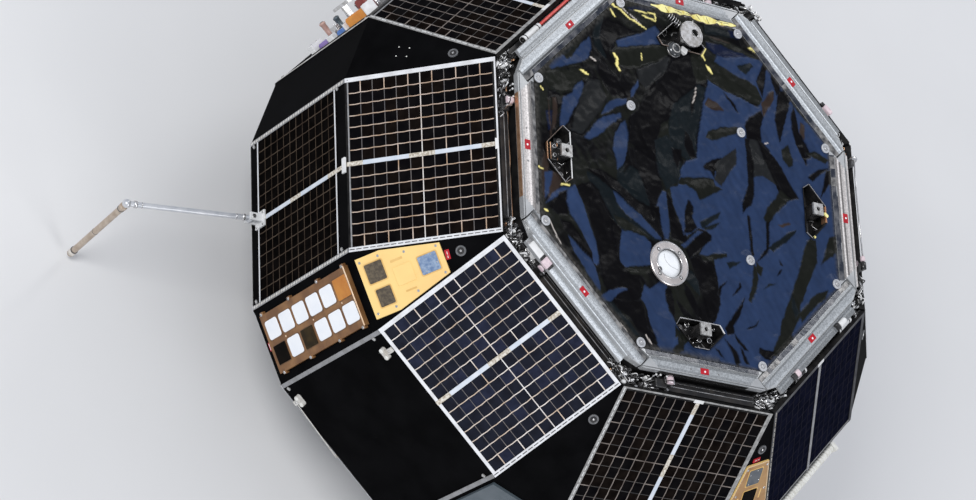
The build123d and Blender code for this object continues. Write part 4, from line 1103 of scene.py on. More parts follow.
def foil_finish():
    """Thin dark foil: its tint comes from the mesh and holds painted reflections and highlights, with fine
    creases in its gloss.
    """
    white = (1, 1, 1)
    made = finish_of("foil", white, white, 0.28, 60, shine=0.04, bump=0.12, bump_scale=160, bump_depth=0.0008)
    nodes = made.node_tree.nodes
    link = made.node_tree.links.new
    tint = nodes.new("ShaderNodeAttribute")
    tint.attribute_name = "tint"
    link(tint.outputs["Color"], nodes["Principled BSDF"].inputs["Base Color"])
    return made


def button_places():
    outer = frame_apothem - button_inset
    places = [out_of(azimuth_of(side) + half_step) * outer for side in all_sides]
    places += [out_of(azimuth) * inner_button_radius for azimuth in (45, 135, 315)]
    return [(place.x, place.y) for place in places]


crumpled_blanket(2.6)

# Sample plates: patches, screws and a raised outline
# Half width, shoulder, half width at the tip, lower and upper end of a plate
plate_outline = (53.9, 50.0, 27.0, 5.0, 152.4)
plate_screws = ((-46, 11), (46, 11), (-46, 45), (46, 45), (-35.5, 90), (35.5, 90), (-24, 145), (24, 145))


def sample_patches():
    # centre along the side, centre up the slope, width, height, finish on side 5 and on side 7
    table = (
        (-22.0, 32.0, 34.0, 32.0, 0, 3),
        (23.0, 34.0, 31.0, 27.0, 0, 0),
        (0.0, 78.0, 33.0, 34.0, 2, 4),
        (-1.0, 124.0, 32.0, 34.0, 1, 3),
    )
    patches = Build("patch_dark", "patch_blue", "gold_plate", "patch_grey", "patch_black", "gold_deep",
                    "plate_brown", "plate_pale")
    screws = Build("bright_metal", "groove_dark", "gold_deep")
    for side in (5, 7):
        place = corner_slope_frame(side)
        for x, y, width, height, *choices in table:
            finish = choices[side // 7]
            rim = 2 if finish == 2 else 5
            patches.prism(place, pad(width / 2, height / 2, 2.5, x, y), 4.0, 5.4, finish, 0.5)
            patches.prism(place, pad(width / 2 + 2.2, height / 2 + 2.2, 3.5, x, y), 4.0, 4.25, rim)
            if finish in (1, 3):
                spots = ((x - 12, y - 13), (x - 13, y + 8), (x + 3, y + 14), (x + 12, y - 8))
                screws.screws(place, spots, 5.4, 1.3, 0.8)
        screws.screws(place, plate_screws, 4.0, 2.4, 1.1, 0, 1)
        screws.box(place, (-30, -26), (62, 84), (4.0, 4.4), 2, 0.1)
        screws.box(place, (27, 30), (70, 90), (4.0, 4.3), 2, 0.1)
    # brown coat of side 7's plate, with a pale rim along its edges
    half, shoulder, tip_half, low, high = plate_outline
    for shrink, rise, finish in ((0.2, 4.0, 7), (2.2, 4.1, 6)):
        edge = half - shrink
        outline = [(edge, low + shrink), (edge, shoulder), (tip_half - shrink, high - shrink)]
        outline += [(-x, y) for x, y in reversed(outline)]
        patches.prism(corner_slope_frame(7), outline, 3.8, rise, finish)
    made = patches.piece("sample_patch_set")
    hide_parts("sample_patches")
    screws.piece("sample_plate_screws")


# Coating frame: twelve rounded patches, screw tabs, a bright bar and a tag
def coating_details():
    white, orange, black, brown = 0, 1, 2, 3
    # finishes of the two columns, from the lower end
    columns = ((white, white, white, white, white, orange), (black, white, brown, white, white, white))
    patches = Build("patch_white", "patch_orange", "patch_black", "patch_brown", "copper_edge")
    details = Build("bar_copper", "bright_metal", "red_paint", "patch_white", "copper_frame", "groove_dark")
    place = corner_frame(5)
    for x, column in zip((-coating_offset, coating_offset), columns):
        for row, finish in enumerate(column):
            y = (row - 2.5) * coating_pitch
            half_x, half_y = coating_width / 2, coating_height / 2
            if finish == orange:
                half_x, half_y = half_x + 1.5, half_y + 1.0
            outline = pad(half_x, half_y, 5.0 if finish == white else 2.0, x, y)
            patches.prism(place, outline, coating_face, coating_face + 1.4, finish, 0.5)
            rim = pad(half_x + 1.6, half_y + 1.6, 3.0, x, y)
            patches.prism(place, rim, coating_face, coating_face + 0.25, 4)
    made = patches.piece("coating_patch_set")
    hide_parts("coating_patches")
    details.box(place, (-coating_half_width, coating_half_width), (coating_end - 3.4, coating_end - 0.2),
                (coating_bar, coating_bar + 0.6), 0, 0.2)
    for x, y in ((-1, -133), (-1, -41), (-1, 53), (-1, 134), (1, -127), (1, -38), (1, 57), (1, 132)):
        spot = shifted(place, x * (coating_half_width + 1.0), y)
        details.box(spot, (-4.0, 3.0), (-4.5, 4.5), (0, coating_face + 0.8), 4, 0.6)
        details.screw(shifted(spot, 0.3, 0, coating_face + 0.8), 2.9, 1.8, 1, 5)
    details.screws(place, ((0.1, 99.1), (0.2, -86.5), (0.1, 6.0)), coating_face, 1.6, 0.9)
    spot = shifted(place, 1.7, -coating_end - 4.5)
    details.box(spot, (-8, 8), (-4.5, 3.5), (1.0, 2.4), 2, 0.3)
    details.box(spot, (-6, 6), (-2.6, -1.4), (2.4, 2.6), 3)
    details.piece("coating_frame_details")


# Tray: coloured blocks with lids and clips, and small parts between them
def tray_parts():
    place = shifted(side_frame(4), half_width - tray_inset, tray_end, tray_floor)
    blocks = Build("tray_purple", "tray_blue", "tray_orange", "tray_maroon", "bright_metal", "groove_dark")
    # inset from the right edge, lower end, width, length, height, finish
    for inset_x, low, width, length, height, finish in (
        (6.0, 23.0, 24.0, 32.0, 7.0, 0),
        (6.0, 85.0, 24.0, 29.0, 7.0, 1),
        (6.0, 124.0, 24.0, 62.0, 16.0, 2),
        (48.0, 125.0, 22.0, 25.0, 30.0, 3),
    ):
        x, y = -inset_x - width / 2, low + length / 2
        lid_x, lid_y = width / 2 - 1.5, length / 2 - 1.5
        blocks.prism(place, pad(width / 2, length / 2, 3.0, x, y), 0, height - 2.0, finish, 0.4)
        blocks.prism(place, pad(lid_x, lid_y, 2.0, x, y), height - 2.0, height, finish, 0.6)
        spots = [(x + a * (lid_x - 3), y + b * (lid_y - 3)) for a in (-1, 1) for b in (-1, 1)]
        blocks.screws(place, spots, height, 1.4, 0.6, 4, 5)
    made = blocks.piece("tray_block_set")
    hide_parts("tray_blocks")
    clips = Build("white_paint", "bright_metal", "groove_dark")
    # inset from the right edge, lower end, width, length, height, finish
    for inset_x, low, width, length, height, finish in (
        (0.0, 2.0, 30.0, 14.0, 14.0, 0),
        (0.0, 60.0, 14.0, 18.0, 9.0, 0),
        (20.0, 60.0, 12.0, 18.0, 18.0, 1),
        (0.0, 117.0, 30.0, 5.0, 12.0, 0),
        (0.0, 188.0, 30.0, 6.0, 20.0, 0),
    ):
        x, y = -inset_x - width / 2, low + length / 2
        radius = min(2.4, length / 2 - 0.4)
        clips.prism(place, pad(width / 2, length / 2, radius, x, y), 0, height, finish, 0.7)
        spots = ((x + width / 4, y), (x - width / 4, y))
        clips.screws(place, spots, height, min(1.9, length * 0.3), 0.9, 1, 2)
    made = clips.piece("tray_clip_set")
    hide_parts("tray_clips")
    parts = Build("tray_pink", "radiator_blue", "bright_metal", "groove_dark", "white_paint", "copper_tape")
    # inset from the right edge, height above the tray's lower end, length of the post, finish
    posts = ((48, 62, 28, 1), (48, 22, 34, 0), (80, 140, 20, 2), (110, 60, 24, 2))
    for inset_x, low, length, finish in posts:
        post = shifted(place, -inset_x, low)
        profile = [(5.1, 1), (5.9, 1.6), (5.9, 4), (5.1, 4.6), (5.1, length - 5), (6.2, length - 4)]
        profile += [(6.2, length - 1.5), (5.2, length), (3.0, length + 0.6)]
        parts.lathe(post, profile, finish, 20)
        parts.ring(post, 2.0, 3.4, length + 0.4, length + 1.3, 3, 16, 0.2)
    pads = ((88, 20), (120, 25), (150, 40), (95, 100), (130, 110), (165, 95), (150, 160), (190, 140))
    for inset_x, low in pads:
        spot = shifted(place, -inset_x, low)
        parts.prism(spot, pad(6, 4, 1.5), 0, 4.0, 4 if low % 20 else 5, 0.6)
        parts.screw(shifted(spot, 0, 0, 4.0), 2.0, 1.0, 2, 3)
    for path in (
        ((-88, 26, 1.6), (-70, 44, 8), (-52, 58, 6)),
        ((-120, 30, 1.6), (-118, 60, 9), (-98, 98, 4)),
        ((-150, 45, 1.6), (-160, 75, 7), (-134, 108, 4)),
        ((-36, 30, 2), (-40, 70, 6), (-38, 118, 2)),
    ):
        parts.tube(place, smooth_path(path, 8), 1.2, 3, 6)
    parts.piece("tray_small_parts")


# Tags, tape and dark covers on the rails
# Bounds of the tapes from the middle of the satellite, on the rail and on the ledge of an even rail
rail_lanes = ((337.6, 341.2), (341.7, 345.2), (345.2, 349.6), (349.6, 354.2), (354.2, 358.7), (361.3, 363.7))
ledge_lanes = ((364.8, 368.6), (368.6, 371.2), (371.6, 378.6))
# For each side, the lightness of these lanes: partly the tapes' own tones and partly painted light and shade,
# since the same tape is set lighter or darker from side to side
rail_levels = {
    1: (3, 8, 2, 6, 7, 4),
    2: (7, 8, 4, 5, 5, 8, 6, 7, 3),
    3: (4, 4, 4, 5, 5, 5),
    4: (1, 4, 7, 6, 6, 5, 5, 4, 6),
    5: (3, 4, 8, 7, 6, 6),
    6: (4, 5, 6, 7, 5, 8, 6, 8, 8),
    7: (2, 3, 5, 5, 4, 4),
    8: (4, 3, 5, 5, 6, 3, 4, 5, 3),
}
# Crumpled lap on side 3's rail, painted gold as a highlight of warm light on the foil: place along the rail,
# its inner and outer reach
gold_highlight_lap = (
    (-128, 5, 7), (-118, 2, 9), (-108, 3, 8), (-100, 0, 8.5), (-92, -1, 7), (-86, 3, 6), (-78, -1, 8),
    (-70, -4, 9), (-62, -5, 10), (-54, -3, 9), (-48, -4, 7), (-40, -2, 9), (-32, -1, 6), (-26, 2, 5),
    (-18, 1, 6), (-10, 1, 8), (-2, -1, 7.5), (6, 1, 6.5), (12, 0, 8), (20, -3, 9.5), (30, -4, 9),
    (40, -3, 9.5), (48, 0, 7), (56, 2, 4.5), (64, 3, 5),
)
rail_inner = frame_apothem - rail_width
# Run and rise of the sloping face along a rail's inner edge, and the height of its foot over the deck's edge
rail_slope = Vector((14.0, 0, 4.0))
rail_foot = 16.0
ledge_height = 13.0
ledge_half = 129.5


def end_frame(azimuth, up, height):
    """At an end of the body: X outwards, Z away from the middle, at a height over the panels' edge."""
    return frame_at((0, 0, middle_z + up * (edge_z + height)), out_of(azimuth), (0, 0, up))


def rail_lane_half(side, radius):
    """Half the length that a lane may have, where an even rail's end is cut and an odd rail stops at it."""
    if side % 2:
        return (rail_inner - 2.5) / cos(radians(side_step)) - radius - 0.6
    cut = frame_apothem / cos(radians(half_step)) - 8.0
    return min(157.4, (cut - radius * cos(radians(half_step))) / sin(radians(half_step)) - 0.6)


def foil_laps(covers, slope, side, chance):
    """Lap of the blanket over a rail's inner face, in pieces of uneven length and reach."""
    half = rail_lane_half(side, rail_lanes[0][0])
    y = -half
    while y < half - 1:
        high = min(half, y + chance.uniform(9, 26))
        reach = chance.uniform(8.6, 10.2)
        pale = side in (5, 6) or chance.random() < 0.15 or abs(y + high) / 2 > 134
        covers.box(slope, (0.4, reach), (y, high), (0, chance.uniform(0.4, 0.9)), 3 if pale else 2, 0.2)
        y = high


def crumpled_lap(covers, slope, chance):
    """Lap painted gold as a highlight of warm light, with a brown rim below it and creases across it."""
    for widen, rise, finish in ((1.3, 0.9, 5), (0.0, 1.6, 4)):
        outer = [(high + widen + chance.uniform(-0.8, 0.8), t) for t, _, high in gold_highlight_lap]
        inner = [(low - widen + chance.uniform(-0.8, 0.8), t) for t, low, _ in reversed(gold_highlight_lap)]
        covers.prism(slope, outer + inner, 0.2, rise, finish, 0.3)
    for t, low, high in gold_highlight_lap[2:-2:3]:
        turn = chance.choice((-9, -5, 6, 11))
        middle = ((low + high) / 2 + 1, t, 1.8)
        crease = [(low + 2.0, t - turn, 1.6), middle, (high - 2.5, t + turn * 0.4, 1.6)]
        covers.tube(slope, crease, 0.45, 5, 5)


def ledge_blocks(blocks, ledge, side):
    """Small blocks on the ledges outside the rails of sides 6 and 8."""
    if side == 6:
        # start, end, height, finish, outer edge, chamfer
        for start, end, high, finish, outer, chamfer in (
            (-129, -122, 2.6, 3, 379.0, 0.5),
            (-122, -92, 3.4, 0, 379.0, 1.2),
            (-92, -87, 2.4, 2, 379.0, 0.5),
            (-87, -71, 5.0, 1, 381.5, 1.2),
            (-71, -66, 2.8, 2, 379.0, 0.5),
        ):
            blocks.prism(ledge, rounded((364.6, outer), (start, end), 1.6), 0, high, finish, chamfer)
    if side == 8:
        drum = turned(shifted(ledge, 373.5, 96, 4.2), 90, "X")
        blocks.lathe(drum, [(1.5, 0), (4.6, 1.4), (5.8, 4.0), (5.8, 20), (4.8, 21)], 0, 20)
        blocks.prism(ledge, pad(6.5, 4.5, 2.0, 373.0, 71), 0, 7.5, 2, 1.5)
        blocks.prism(ledge, pad(5.75, 5.5, 2.5, 374.75, -74), 0, 7.0, 1, 2.0)
        blocks.prism(ledge, pad(5.75, 5.5, 2.0, 374.75, -85.5), 0, 6.0, 2, 1.5)


def rail_details():
    tags = Build("red_paint", "patch_white")
    screws = Build("dull_metal", "groove_dark")
    tapes = Build(*rail_tones)
    covers = Build("black_edge", "copper_tape", "foil_lap", "foil_lap_pale", "foil_gold", "rim_brown")
    blocks = Build("white_paint", "pink_white", "cable_black", "dull_metal")
    chance = random.Random(19)
    stretch = rail_slope.length / rail_slope.x
    for up in (1, -1):
        for side in all_sides:
            azimuth = azimuth_of(side)
            tones = [level - 1 + (8 if side in (1, 5) else 0) for level in rail_levels[side]]
            top = end_frame(azimuth, up, rail_top)
            face = level_frame(azimuth, 0).to_3x3()
            slope = frame_at(
                face @ Vector((rail_inner, 0, middle_z + up * (edge_z + rail_foot))),
                face @ Vector((rail_slope.x, 0, up * rail_slope.z)),
                face @ Vector((-rail_slope.z, 0, up * rail_slope.x)),
            )
            for lane, (low, high) in enumerate(rail_lanes):
                half = rail_lane_half(side, high)
                place, across = top, (low, high)
                if lane == 0:
                    place, across = slope, ((low - rail_inner) * stretch, (high - rail_inner) * stretch)
                tapes.box(place, across, (-half, half), (0, 0.4), tones[lane], 0.1)
            foil_laps(covers, slope, side, chance)
            if side == 3 and up > 0:
                crumpled_lap(covers, slope, chance)
            if side % 2 == 0:
                ledge = end_frame(azimuth, up, ledge_height)
                for bounds, lift, tone in zip(ledge_lanes, (0.0, 0.0, 1.5), tones[len(rail_lanes) :]):
                    tapes.box(ledge, bounds, (-ledge_half, ledge_half), (lift, lift + 0.4), tone, 0.1)
                if up > 0:
                    ledge_blocks(blocks, ledge, side)
            else:
                wall = upright_frame(azimuth, frame_apothem, top.translation.z)
                half = rail_lane_half(side, frame_apothem)
                drop = sorted((-up * 11.0, -up * 1.2))
                covers.box(wall, (-half, half), drop, (0, 0.4), 1 if side == 5 else 0, 0.1)
                if side == 1:
                    drop = sorted((-up * 4.2, -up * 2.2))
                    tapes.box(wall, (-128, 128), drop, (0.4, 5.4), 14, 0.2)
            if up > 0:
                tags.prism(top, pad(5.5, 9.0, 1.0, 350.5), 0.4, 1.0, 0, 0.2)
                tags.prism(shifted(top, 351.0, 0.4), polygon(1.9, 12), 1.0, 1.2, 1)
                if side in (5, 7):
                    screws.screws(top, ((351.0, -30), (351.0, 30)), 0.4, 1.8, 0.4, 0, 1)
    tags.piece("rail_tags")
    screws.piece("rail_screws")
    tapes.piece("rail_tape")
    covers.piece("rail_covers")
    blocks.piece("ledge_blocks")


sample_patches()
coating_details()
tray_parts()
rail_details()


# Fittings in the channel round the upper deck
def loose_cables(build, place, t_range, r_range, count, chance, tall):
    """Tangle of short curved cables, silver sleeves and small blocks between two places along a side."""
    for index in range(count):
        t = chance.uniform(*t_range)
        r = chance.uniform(*r_range)
        reach = chance.uniform(8, 20) * chance.choice((-1, 1))
        low = chance.uniform(3.0, 9.0)
        high = low + chance.uniform(2.0, tall)
        start = (r, t, low)
        bend = (r + chance.uniform(-5, 5), t + reach / 2, high)
        end = (min(391, max(368, r + chance.uniform(-8, 8))), t + reach, low)
        finish = chance.choice((0, 0, 0, 1, 2, 5))
        build.tube(place, smooth_path([start, bend, end], 5), chance.uniform(0.8, 1.8), finish, 6)
        if index % 2:
            spot = turned(shifted(place, r, t, low), chance.uniform(0, 90))
            size = chance.uniform(1.4, 3.2)
            outline = pad(size, size * 0.6, size * 0.3)
            build.prism(spot, outline, 0, high - low, chance.choice((0, 0, 1, 2, 5)), 0.4)


# Radius and place along the side of the connectors' hoods
usual_hood = (374.0, -78.0)
connector_hoods = {5: (372.5, -83.3), 6: (376.4, -77.3), 7: (371.5, -64.5), 8: (377.5, -67.1)}


def connector(fittings, place, side, chance):
    """Dark sleeve round its foot, a pale half-round hood across the channel and pins along the rail."""
    if side != 8:
        foot = (frame_apothem + duct_gap + 7.5, connector_place)
        fittings.prism(place, pad(8.1, 11.8, 2.0, *foot), 0, 18.9, 5, 1.5)
    r, t = connector_hoods.get(side, usual_hood)
    spot = shifted(place, r, t)
    fittings.prism(spot, pad(8.5, 6.4, 2.0), 12, 24, 5, 0.8)
    hood = turned(shifted(spot, -7.5, 0, 25.0), 90, "Y")
    fittings.lathe(hood, [(5.4, 0), (6.4, 1.0), (6.4, 14.0), (5.4, 15.0)], 2, 20)
    for start, width, finish in ((1.6, 1.2, 5), (9.6, 1.8, 5), (12.8, 1.0, 3)):
        fittings.ring(hood, 6.3, 6.9, start, start + width, finish, 20, 0.2)
    for end, finish in ((-8.6, 1), (8.6, 3)):
        fittings.prism(turned(shifted(spot, 1.0, end), 8), pad(6, 1.7, 0.8, -0.5), 6, 25.0, finish, 0.6)
    for reach in (-30, -22, -7, 1):
        pin = shifted(place, 366.4, t + reach, 26.0 + chance.uniform(-1, 1))
        fittings.lathe(pin, [(1.0, -8), (1.1, 0), (2.0, 0.6), (2.0, 1.8), (1.0, 2.6)], 0, 10)


def channel_parts():
    chance = random.Random(12)
    cables = Build("cable_black", "bright_metal", "dull_metal", "copper_tape", "duct_line", "white_paint")
    fittings = Build("white_paint", "black_gloss", "pink_white", "bright_metal", "groove_dark", "cable_black")
    near = frame_apothem + duct_gap
    duct = (duct_start, duct_end)
    for side in all_sides:
        place = level_frame(azimuth_of(side), channel_floor)
        # bright line along the top of each duct, a painted highlight
        cables.box(place, (near + 7.6, near + 8.9), duct, (duct_height, duct_height + 0.7), 4, 0.2)
        cables.box(place, (near + 0.3, near + 0.9), duct, (duct_height, duct_height + 0.5), 2, 0.1)
        upper = 3 if side == 5 else 0
        for r, z, radius, finish in ((366.4, 3.0, 2.2, 0), (389.4, 2.6, 2.0, 0), (366.6, 7.6, 1.5, upper)):
            places = range(-120, 141, 20)
            path = [(r + chance.uniform(-0.5, 0.5), t, z + chance.uniform(0, 1.5)) for t in places]
            cables.tube(place, smooth_path(path, 3), radius, finish, 8)
        loose_cables(cables, place, (-152, -94), (368, 390), 34, chance, 16.0)
        loose_cables(cables, place, (-92, -62), (367, 391), 14, chance, 12.0)
        loose_cables(cables, place, (130, 152), (368, 389), 16, chance, 14.0)
        connector(fittings, place, side, chance)
    # rod, knob, connector and a taller tangle outside the rail of side 1
    place = level_frame(0, channel_floor)
    for t in (-112, -132, -148):
        fittings.prism(turned(shifted(place, 384, t), 12), pad(4.5, 5, 1.5, -0.5), 0, 24.0, 5, 1.0)
    loose_cables(cables, shifted(place, 0, 0, 15), (-150, -94), (376, 391), 26, chance, 12.0)
    rod = [(385.6, 118, 38), (384.6, 60, 37.4), (384.9, 14, 37.6), (386.4, -77, 38)]
    fittings.tube(place, rod, 1.3, 3, 8)
    for r, t, profile, finish in (
        (386.4, -66, [(2.2, 0), (4.6, 1), (4.6, 9), (2.6, 10)], 2),
        (386.8, -77, [(3.0, 0), (5.2, 1), (5.2, 14), (3.0, 15)], 1),
    ):
        fittings.lathe(turned(shifted(place, r, t, 37), 90, "X"), profile, finish, 14)
    for spot, half_x, half_y in (((387.5, -84), 4.5, 7), ((386, 118), 4, 5)):
        fittings.prism(place, pad(half_x, half_y, 1.5, *spot), 8, 35.0, 4, 1.0)
    knob = [(4.0, 0), (6.0, 2), (6.2, 12), (4.4, 15), (1.5, 16)]
    fittings.lathe(shifted(place, 392, 128, 20), knob, 3, 12, False)
    # two short rods in clamps by the upper end of side 2, and a block outside its rail
    place = level_frame(45, channel_floor)
    fittings.tube(place, [(377, 164, 26), (383, 152, 33), (388, 134, 36), (390, 120, 36)], 2.0, 3, 8)
    fittings.tube(place, [(384, 158, 30), (391, 140, 36), (393, 124, 36)], 1.3, 0, 8)
    # place, turn, half sizes, corner radius, height, finish, chamfer
    for spot, turn, half_sizes, radius, height, finish, chamfer in (
        ((388, 150, 14), 20, (5, 2.4), 1.0, 25.0, 3, 0.6),
        ((388, 136, 14), 10, (5, 2.4), 1.0, 25.0, 3, 0.6),
        ((388, 124, 14), 0, (5, 2.4), 1.0, 25.0, 3, 0.6),
        ((388, -86, 12), 8, (4.5, 10), 2.0, 26.0, 2, 1.5),
        ((389, -73, 8), 8, (3.5, 4), 1.0, 26.0, 1, 0.8),
    ):
        spot = turned(shifted(place, *spot), turn)
        fittings.prism(spot, pad(*half_sizes, radius), 0, height, finish, chamfer)
    cables.piece("channel_cables")
    fittings.piece("channel_fittings")


# Profile of a ring and a bolt on the end of a drum
drum_end = [(5.9, 0), (5.9, 0.5), (4.4, 0.6), (4.2, 0.1), (2.0, 0.1), (1.8, 1.4), (0.9, 1.7)]


def drum_details():
    """Black end rings and bands on the white drums, a collar on the red rod and single white blocks."""
    parts = Build("black_gloss", "bright_metal", "white_paint", "pink_white")
    # side, centre along it, length, radius of the centre, height above the channel's floor
    for side, t, length, centre, height in (
        (4, 65.0, 50.0, 382.5, 19.0),
        (6, -103.0, 26.0, 374.6, 7.0),
        (8, -60.0, 36.0, 382.5, 19.0),
        (8, 100.0, 40.0, 382.5, 19.0),
    ):
        spot = shifted(level_frame(azimuth_of(side), channel_floor), centre, t, height)
        for end in (-1, 1):
            face = turned(shifted(spot, 0, end * length / 2), -90 * end, "X")
            parts.lathe(face, drum_end, 0, 20)
        for share in (-0.36, 0.36):
            band = turned(shifted(spot, 0, share * length - 1.0), -90, "X")
            parts.ring(band, 6.0, 6.4, 0, 2.0, 0, 24, 0.2)
        if t == -60.0:
            sleeve = turned(shifted(spot, 0, -length / 2), -90, "X")
            parts.ring(sleeve, 6.0, 6.7, 0.4, 35.6, 0, 24, 0.3)
    # side, place along it, radius, height of the centre, size, finish
    for side, t, r, z, size, finish in (
        (4, 140, 386, 9, 5.0, 2),
        (6, -105, 376, 8, 9.0, 2),
        (5, -102, 370, 9, 4.0, 1),
        (7, 145, 371, 10, 5.0, 1),
        (5, -148, 374, 8, 4.0, 1),
        (6, -86, 374, 8, 6.5, 3),
    ):
        place = level_frame(azimuth_of(side), channel_floor)
        parts.prism(place, pad(size * 0.8, size, size * 0.3, r, t), 0, z + size * 0.7, finish, size * 0.25)
    place = level_frame(azimuth_of(6), channel_floor)
    parts.prism(place, pad(5.4, 12.0, 1.5, 370.4, -106.6), 0, 26.0, 2, 1.5)
    parts.prism(place, pad(6.5, 5.0, 1.5, 373.4, -125.6), 0, 24.0, 0, 1.0)
    parts.piece("channel_drum_details")


# Distance of the corner brackets' hexagons from the middle of the satellite
corner_radius = 402.0


def corner_bolts(parts, place):
    """Hexagon with a washer, and four bolts round it."""
    parts.prism(shifted(place, corner_radius, 0), polygon(4.2, 6), 16, 18.6, 0, 0.5)
    parts.ring(shifted(place, corner_radius, 0), 6.0, 7.9, 13.6, 15.4, 2, 24, 0.3)
    parts.screws(place, ((393, -11), (393, 11), (411, -11), (411, 11)), 8.0, 2.6, 1.6, 0, 1)


def corner_fittings():
    chance = random.Random(5)
    parts = Build("bright_metal", "black_gloss", "dull_metal", "cable_black", "white_paint", "copper_tape")
    for index in range(side_count):
        place = level_frame(index * side_step + half_step, channel_floor)
        corner_bolts(parts, place)
        parts.ring(shifted(place, corner_radius, 0), 7.0, 8.6, 8.0, 9.2, 0, 24, 0.3)
        cap = [(3.8, 8), (4.6, 10), (4.6, 13), (3.4, 15), (1.2, 15.6)]
        parts.lathe(shifted(place, 414, 5), cap, 4, 8, False)
        parts.tube(place, [(392, -14, 14), (404, -9, 19), (414, 12, 17)], 1.3, 0, 8)
        parts.tube(place, [(391, 12, 12), (399, 16, 15), (410, 19, 11)], 1.1, 2, 8)
        for r, t, turn in ((396, -17, 15), (398, 18, -20), (388, -9, 40), (387, 9, -35)):
            spot = turned(shifted(place, r, t), turn)
            parts.prism(spot, pad(4.5, 3.0, 1.0), 0, chance.uniform(8, 13), 2, 0.8)
            parts.screw(shifted(spot, 1.5, 0, 13.0), 1.5, 0.8, 0)
        for _ in range(16):
            x, y, z = chance.uniform(388, 412), chance.uniform(-24, 24), chance.uniform(6, 14)
            bend = (x + chance.uniform(-8, 8), y + chance.uniform(-8, 8), z + chance.uniform(2, 9))
            end = (x + chance.uniform(-12, 8), y + chance.uniform(-14, 14), chance.uniform(3, 8))
            finish = chance.choice((3, 3, 3, 0, 2, 4, 5))
            parts.tube(place, smooth_path([(x, y, z), bend, end], 4), chance.uniform(0.7, 1.5), finish, 6)
            block = turned(shifted(place, x, y), chance.uniform(0, 90))
            size = chance.uniform(1.4, 3.4)
            outline = pad(size, size * 0.6, size * 0.3)
            parts.prism(block, outline, 4, z + size * 2, chance.choice((1, 1, 0, 2, 3)), 0.4)
    parts.piece("corner_fittings")
    parts = Build("bright_metal", "black_gloss", "dull_metal")
    for index in range(side_count):
        corner_bolts(parts, upside_down(level_frame(index * side_step + half_step, middle_z - edge_z + 20.0)))
    parts.piece("lower_corner_fittings")


# Openings in the blanket: bright edges, bolts, coils and loose wires
# Finish of each opening's six rims, anticlockwise from the outer one on the left as seen from outside
opening_rims = ((3, 3, 4, 3, 4, 1), (3, 5, 5, 5, 3, 3), (3, 5, 2, 3, 5, 1), (4, 2, 0, 3, 4, 3))
opening_floor = -10.0


def opening_edges(edges, place, rims):
    """Six bright rims, each with a dark wall below it."""
    outline = list(zip(opening_radii, opening_halves))
    outline += [(radius, -half) for radius, half in reversed(outline)]
    for corner, finish in enumerate(rims):
        start, end = outline[corner], outline[(corner + 1) % 6]
        step = Vector((end[0] - start[0], end[1] - start[1], 0))
        spot = frame_at(place @ Vector((*start, rim_height)), place.to_3x3() @ step, (0, 0, 1))
        width = 0.9 if finish in (0, 2) else 0.4
        edges.prism(spot, rectangle((0, step.length), (-0.8, width)), -0.8, 0.9, finish, 0.3)
        edges.prism(spot, rectangle((0, step.length), (0.2, 1.5)), -13.0, -1.0, 1 if finish == 1 else 4)


